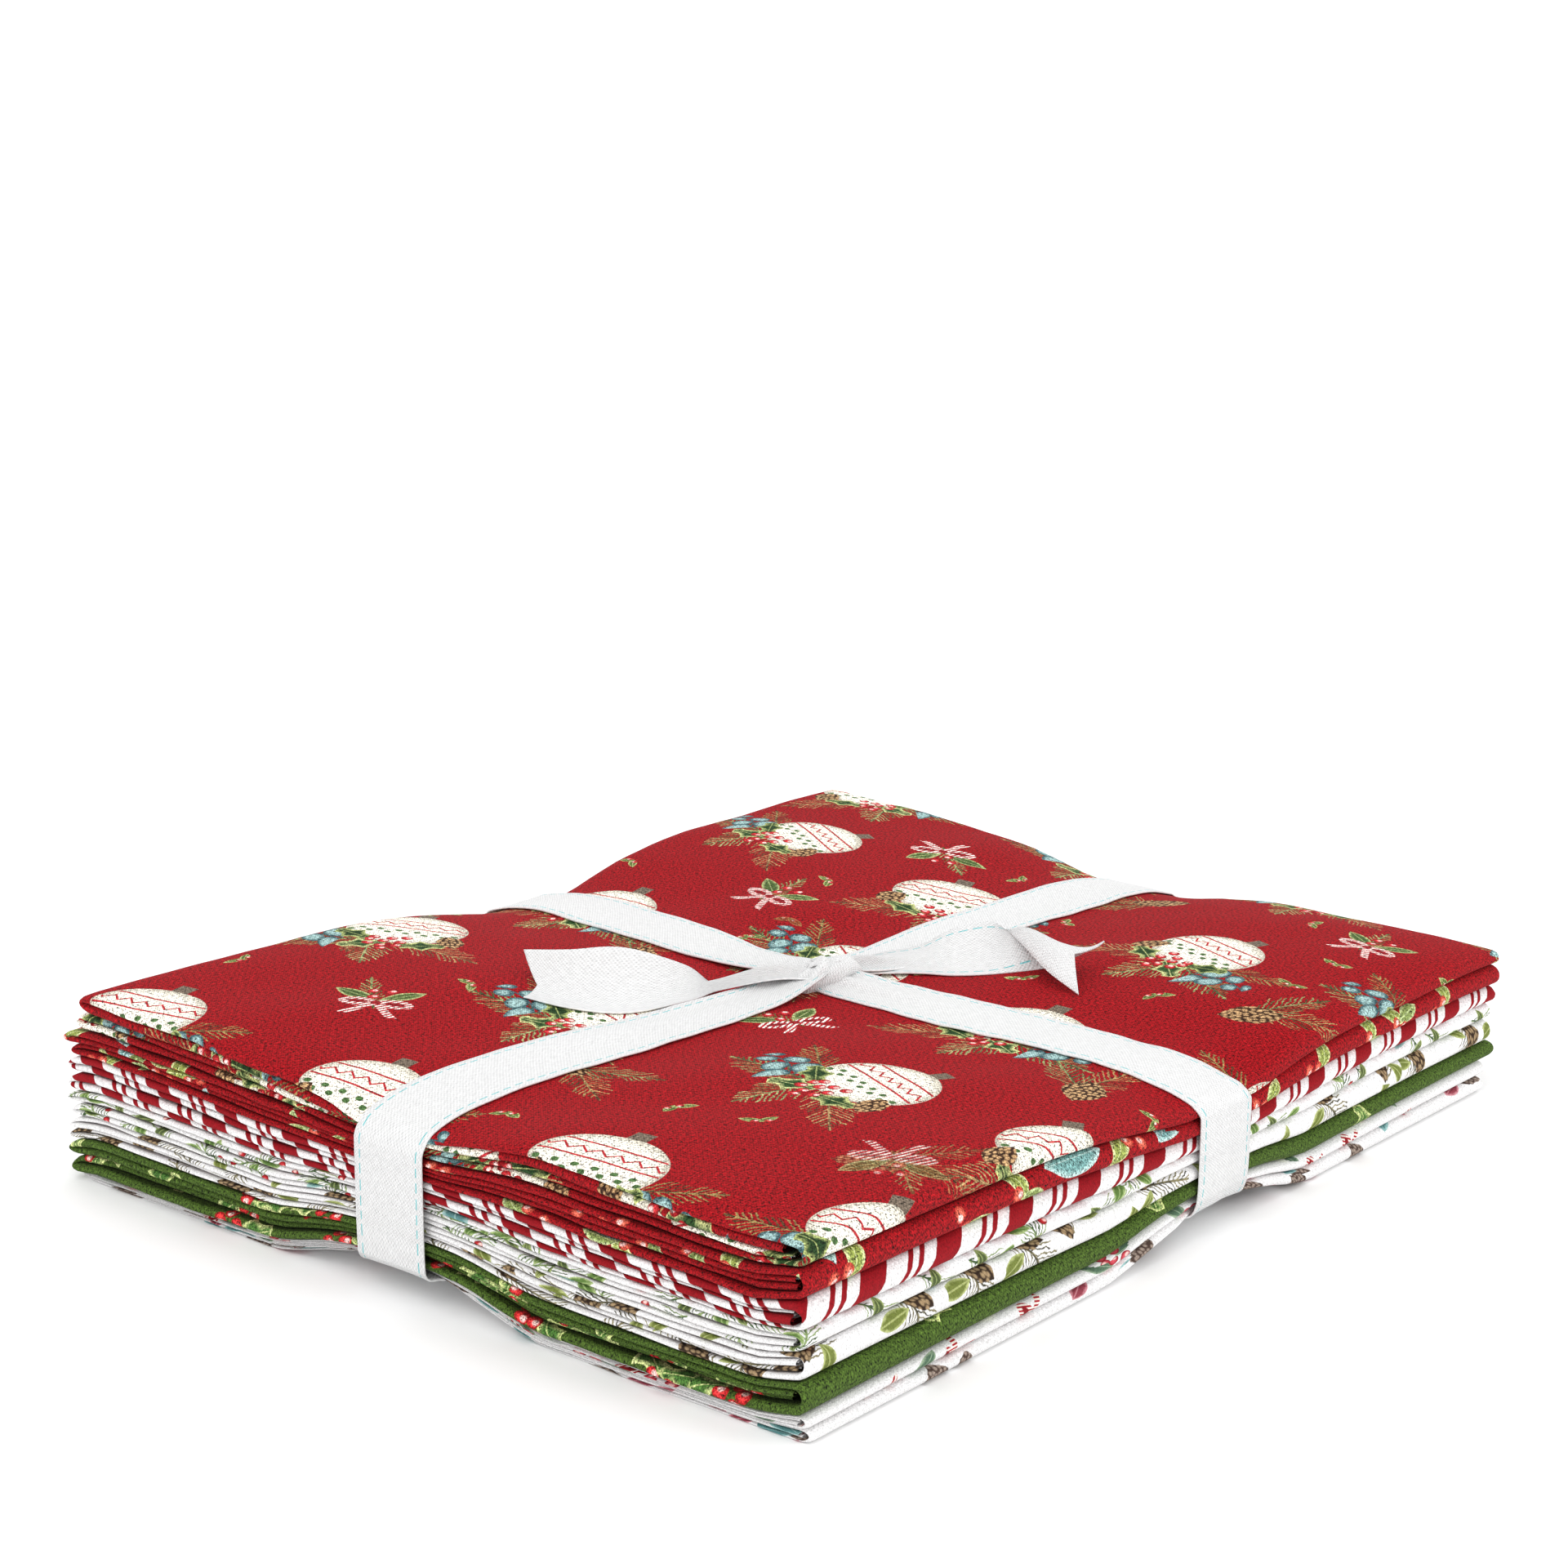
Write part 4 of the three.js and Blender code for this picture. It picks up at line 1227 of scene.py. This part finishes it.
def wrap_bands(tape):
    """The two bands of the tape, once round the bundle each way."""
    crosswise = tape_band(
        "tape_wrap_crosswise_band", HALF_X, lambda along, across, z: (along, across, z), 301,
        tape, leaning=1,
    )
    lengthwise = tape_band(
        "tape_wrap_lengthwise_band", HALF_Y + LENGTHWISE_CLEAR,
        lambda along, across, z: (-across, along, z), 302, tape, lower=CROSSING,
        near_neck_end=NEAR_NECK_END,
    )
    declare_tape("tape_wrap_crosswise")
    declare_tape("tape_wrap_lengthwise")


def lay_ends(tape):
    """The two free ends of the tape, notched, that leave the knot."""
    left = free_ribbon("tape_tail_left_end", TAIL_LEFT, 303, tape)
    right = free_ribbon("tape_tail_right_end", TAIL_RIGHT, 304, tape)
    declare_tape(
        "tape_tail_left"
    )
    declare_tape(
        "tape_tail_right"
    )


KNOT_AXIS = math.radians(51.5)  # the free ends leave the knot along this line, from +X
KNOT_RADII = (5.3, 3.9)  # level and upright
KNOT_MEAN_RADIUS = 4.4
KNOT_LENGTH = 14.6
KNOT_TILT = 3.6  # how far the top of the turn leans to the right free end
KNOT_SINK = 0.2
KNOT_STEPS = (72, 28)  # round it and along it
KNOT_ENDS = (-0.35, math.tau + 0.55)  # the turn's two ends overlap, in radians
KNOT_SPIRAL = 0.32  # how far it winds out in a turn
KNOT_PLEATS = 2.2
KNOT_PLEAT_HEIGHT = 0.8
KNOT_CLOSING = 1.97  # at 2 the turn closes fully at its two sides


def knot_band(tape):
    """The turn of tape that holds the knot, gathered into folds, round the line of the ends."""
    angle = np.linspace(*KNOT_ENDS, KNOT_STEPS[0])[:, None]
    along = np.linspace(-0.5, 0.5, KNOT_STEPS[1])[None, :]
    uneven = Ripple(305, 0.4, 1.2, 4).at(along, 0.3 * angle)
    pleats = np.sin(math.tau * (KNOT_PLEATS * along + 0.1 * angle) + 1.3 * uneven)
    belly = np.sqrt(np.maximum(1 - (KNOT_CLOSING * along) ** 2, 0.02))
    level, upright = (
        (radius + KNOT_PLEAT_HEIGHT * pleats) * belly + KNOT_SPIRAL * angle / math.tau
        for radius in KNOT_RADII
    )
    length = along * KNOT_LENGTH + KNOT_TILT * np.cos(angle - 0.3)
    side = level * np.sin(angle)
    axis_x, axis_y = math.cos(KNOT_AXIS), math.sin(KNOT_AXIS)
    x = KNOT_MIDDLE.x + axis_x * length - axis_y * side
    y = KNOT_MIDDLE.y + axis_y * length + axis_x * side
    z = KNOT_MIDDLE.z - KNOT_SINK + upright * np.cos(angle)
    flat_x = (angle * KNOT_MEAN_RADIUS + 0 * along) * MM
    flat_y = (along + 0.5) * tape.width + 0 * flat_x
    piece = tape_piece("tape_knot_turn", np.stack([x, y, z], -1), flat_x, flat_y, tape)
    declare_tape(
        "tape_knot"
    )


# ---------------------------------------------------------------- stage

CAMERA_AT = (0.5312, -0.6544, 0.3186)  # metres
CAMERA_AZIMUTH = 39.53  # degrees, as the next two
CAMERA_PITCH = -15.17
CAMERA_ROLL = 0.47
SENSOR = 36  # width, in millimetres
FLOOR_SIZE = 40
LIGHT_SIZE = 0.8
KEY_AT = (0.1, -1.2, 1.5)
FILL_AT = (1.4, 0.3, 0.8)


def add_stage(stage):
    """The plain floor, the soft light and the camera."""
    add_floor(stage.floor)
    add_sky(stage.sky)
    add_light("key", KEY_AT, stage.key)
    add_light("fill", FILL_AT, stage.fill)
    add_camera(stage.lens)
    bpy.context.scene.view_settings.view_transform = "Standard"


def add_floor(colour):
    bpy.ops.object.select_all(action="DESELECT")
    bpy.ops.mesh.primitive_plane_add(size=FLOOR_SIZE, location=(0, 0, 0))
    floor = bpy.context.object
    floor.name = "floor"
    plain = Dye("pale_floor")
    shader = plain.node("BsdfPrincipled", None, Roughness=0.9)
    shader.node.inputs["Base Color"].default_value = (*colour, 1)
    shader.node.inputs["Specular IOR Level"].default_value = 0.1
    plain.node("OutputMaterial", None, shader, out=None)
    floor.data.materials.append(plain.material)


def add_sky(strength):
    world = bpy.data.worlds.new("studio")
    bpy.context.scene.world = world
    world.use_nodes = True
    background = world.node_tree.nodes["Background"]
    background.inputs["Color"].default_value = (1.0, 1.0, 1.0, 1)
    background.inputs["Strength"].default_value = strength


def add_light(name, place, power):
    """A round lamp that shines at the bundle."""
    bpy.ops.object.light_add(type="AREA", location=place)
    light = bpy.context.object
    light.name = name
    light.data.shape = "DISK"
    light.data.size = LIGHT_SIZE
    light.data.energy = power
    light.rotation_euler = (-Vector(place)).to_track_quat("-Z", "Y").to_euler()


def add_camera(lens):
    camera_data = bpy.data.cameras.new("view")
    camera = bpy.data.objects.new("view", camera_data)
    bpy.context.scene.collection.objects.link(camera)
    camera.location = CAMERA_AT
    aim = Euler((math.radians(90 + CAMERA_PITCH), 0, math.radians(CAMERA_AZIMUTH)), "XYZ")
    roll = Euler((0, 0, math.radians(CAMERA_ROLL)))
    camera.rotation_mode = "QUATERNION"
    camera.rotation_quaternion = aim.to_quaternion() @ roll.to_quaternion()
    camera_data.lens = lens
    camera_data.sensor_width = SENSOR
    camera_data.clip_start = 0.01
    bpy.context.scene.camera = camera


# ---------------------------------------------------------------- settings and operators


def length_setting(name, description, default, low, high):
    return bpy.props.FloatProperty(
        name=name, description=description, default=default, min=low, max=high, precision=5,
        unit="LENGTH",
    )


def colour_setting(name, description, code):
    return bpy.props.FloatVectorProperty(
        name=name, description=description, default=ink(code)[:3], min=0.0, max=1.0, size=3,
        subtype="COLOR",
    )


def light_setting(name, description, default):
    return bpy.props.FloatProperty(
        name=name, description=description, default=default, min=0.0, max=100.0, unit="POWER"
    )


class BundleCloth(bpy.types.PropertyGroup):
    """The eight cuts: their cloth, their folds and their dyes."""

    width: length_setting("Cloth width", "Width of the cotton off the bolt", 1.118, 0.5, 2.0)
    yard: length_setting("Cut length", "Length cut off the bolt for each piece", 0.914, 0.2, 2.0)
    nose: length_setting("Fold nose", "How far a folded edge bulges out", 0.00135, 0.0002, 0.003)
    air: length_setting("Air", "Air between one cut and the next", 0.0001, 0.00002, 0.0005)
    red: colour_setting("Red", "Ground of the two red cottons", "8F0C14")
    stripe_red: colour_setting("Stripe red", "Stripes of the candy-striped cotton", "8E0D18")
    green: colour_setting("Green", "Ground of the holly cotton", "435A21")
    white: colour_setting("White", "Ground of the white cottons", "E8E7E7")


class BundleTape(bpy.types.PropertyGroup):
    """The woven tape that ties the bundle."""

    width: length_setting("Width", "Width of the tape", 0.021, 0.006, 0.04)
    thickness: length_setting("Thickness", "Thickness of the tape", 0.00042, 0.0001, 0.001)
    bridge: length_setting("Bridge", "Rise of the tape off the cloth at the knot", 0.003, 0, 0.006)
    white: colour_setting("White", "Ground of the tape", "E2E2E2")
    dashes: colour_setting("Dashes", "The dashed line along each edge", "6FC4C8")


class BundleStage(bpy.types.PropertyGroup):
    """The floor, the light and the camera."""

    floor: colour_setting("Floor", "Colour of the floor", "FBFBFB")
    sky: bpy.props.FloatProperty(
        name="Sky", description="Strength of the even white light", default=1.24, min=0, max=5
    )
    key: light_setting("Key", "Power of the light over the near left side", 4.1)
    fill: light_setting("Fill", "Power of the light at the right side", 3.7)
    lens: bpy.props.FloatProperty(
        name="Lens", description="Focal length", default=82.05, min=20, max=300, unit="CAMERA"
    )


class BundleOperator:
    """What the steps of the bundle have in common: each makes its pieces in the scene."""

    bl_options = {"REGISTER", "UNDO"}

    def execute(self, context):
        self.make(context.scene)
        return {"FINISHED"}


class BUNDLE_OT_fold_cuts(BundleOperator, bpy.types.Operator):
    """Fold the eight printed cuts and stack them"""

    bl_idname = "bundle.fold_cuts"
    bl_label = "Fold and stack the cuts"

    def make(self, scene):
        for index in range(len(CUT_NODES)):
            fold_cut(index, scene.bundle_cloth)


class BUNDLE_OT_wrap_bands(BundleOperator, bpy.types.Operator):
    """Wrap the tape round the stack, once each way"""

    bl_idname = "bundle.wrap_bands"
    bl_label = "Wrap the tape"

    def make(self, scene):
        wrap_bands(scene.bundle_tape)


class BUNDLE_OT_lay_ends(BundleOperator, bpy.types.Operator):
    """Lay the two notched free ends of the tape"""

    bl_idname = "bundle.lay_ends"
    bl_label = "Lay the free ends"

    def make(self, scene):
        lay_ends(scene.bundle_tape)


class BUNDLE_OT_tie_knot(BundleOperator, bpy.types.Operator):
    """Wind the turn of tape that holds the knot"""

    bl_idname = "bundle.tie_knot"
    bl_label = "Tie the knot"

    def make(self, scene):
        knot_band(scene.bundle_tape)


class BUNDLE_OT_set_stage(BundleOperator, bpy.types.Operator):
    """Add the floor, the light and the camera"""

    bl_idname = "bundle.set_stage"
    bl_label = "Set the stage"

    def make(self, scene):
        add_stage(scene.bundle_stage)


class BUNDLE_PT_panel(bpy.types.Panel):
    """Sizes, colours and steps of the bundle"""

    bl_idname = "BUNDLE_PT_panel"
    bl_label = "Bundle of yard cuts"
    bl_space_type = "VIEW_3D"
    bl_region_type = "UI"
    bl_category = "Bundle"

    def draw(self, context):
        for title, name, group, operators in PANEL_ROWS:
            box = self.layout.box()
            box.label(text=title)
            for setting in group.__annotations__:
                box.prop(getattr(context.scene, name), setting)
            for operator in operators:
                box.operator(operator.bl_idname)


PANEL_ROWS = [
    ("Cuts", "bundle_cloth", BundleCloth, [BUNDLE_OT_fold_cuts]),
    ("Tape", "bundle_tape", BundleTape,
     [BUNDLE_OT_wrap_bands, BUNDLE_OT_lay_ends, BUNDLE_OT_tie_knot]),
    ("Stage", "bundle_stage", BundleStage, [BUNDLE_OT_set_stage]),
]


def register():
    for _, name, group, operators in PANEL_ROWS:
        for kind in (group, *operators):
            bpy.utils.register_class(kind)
        setattr(bpy.types.Scene, name, bpy.props.PointerProperty(type=group))
    bpy.utils.register_class(BUNDLE_PT_panel)


def unregister():
    bpy.utils.unregister_class(BUNDLE_PT_panel)
    for _, name, group, operators in reversed(PANEL_ROWS):
        delattr(bpy.types.Scene, name)
        for kind in (*operators, group):
            bpy.utils.unregister_class(kind)


def main():
    register()
    bpy.ops.bundle.fold_cuts()
    bpy.ops.bundle.wrap_bands()
    bpy.ops.bundle.lay_ends()
    bpy.ops.bundle.tie_knot()
    bpy.ops.bundle.set_stage()


if __name__ == "__main__":
    main()
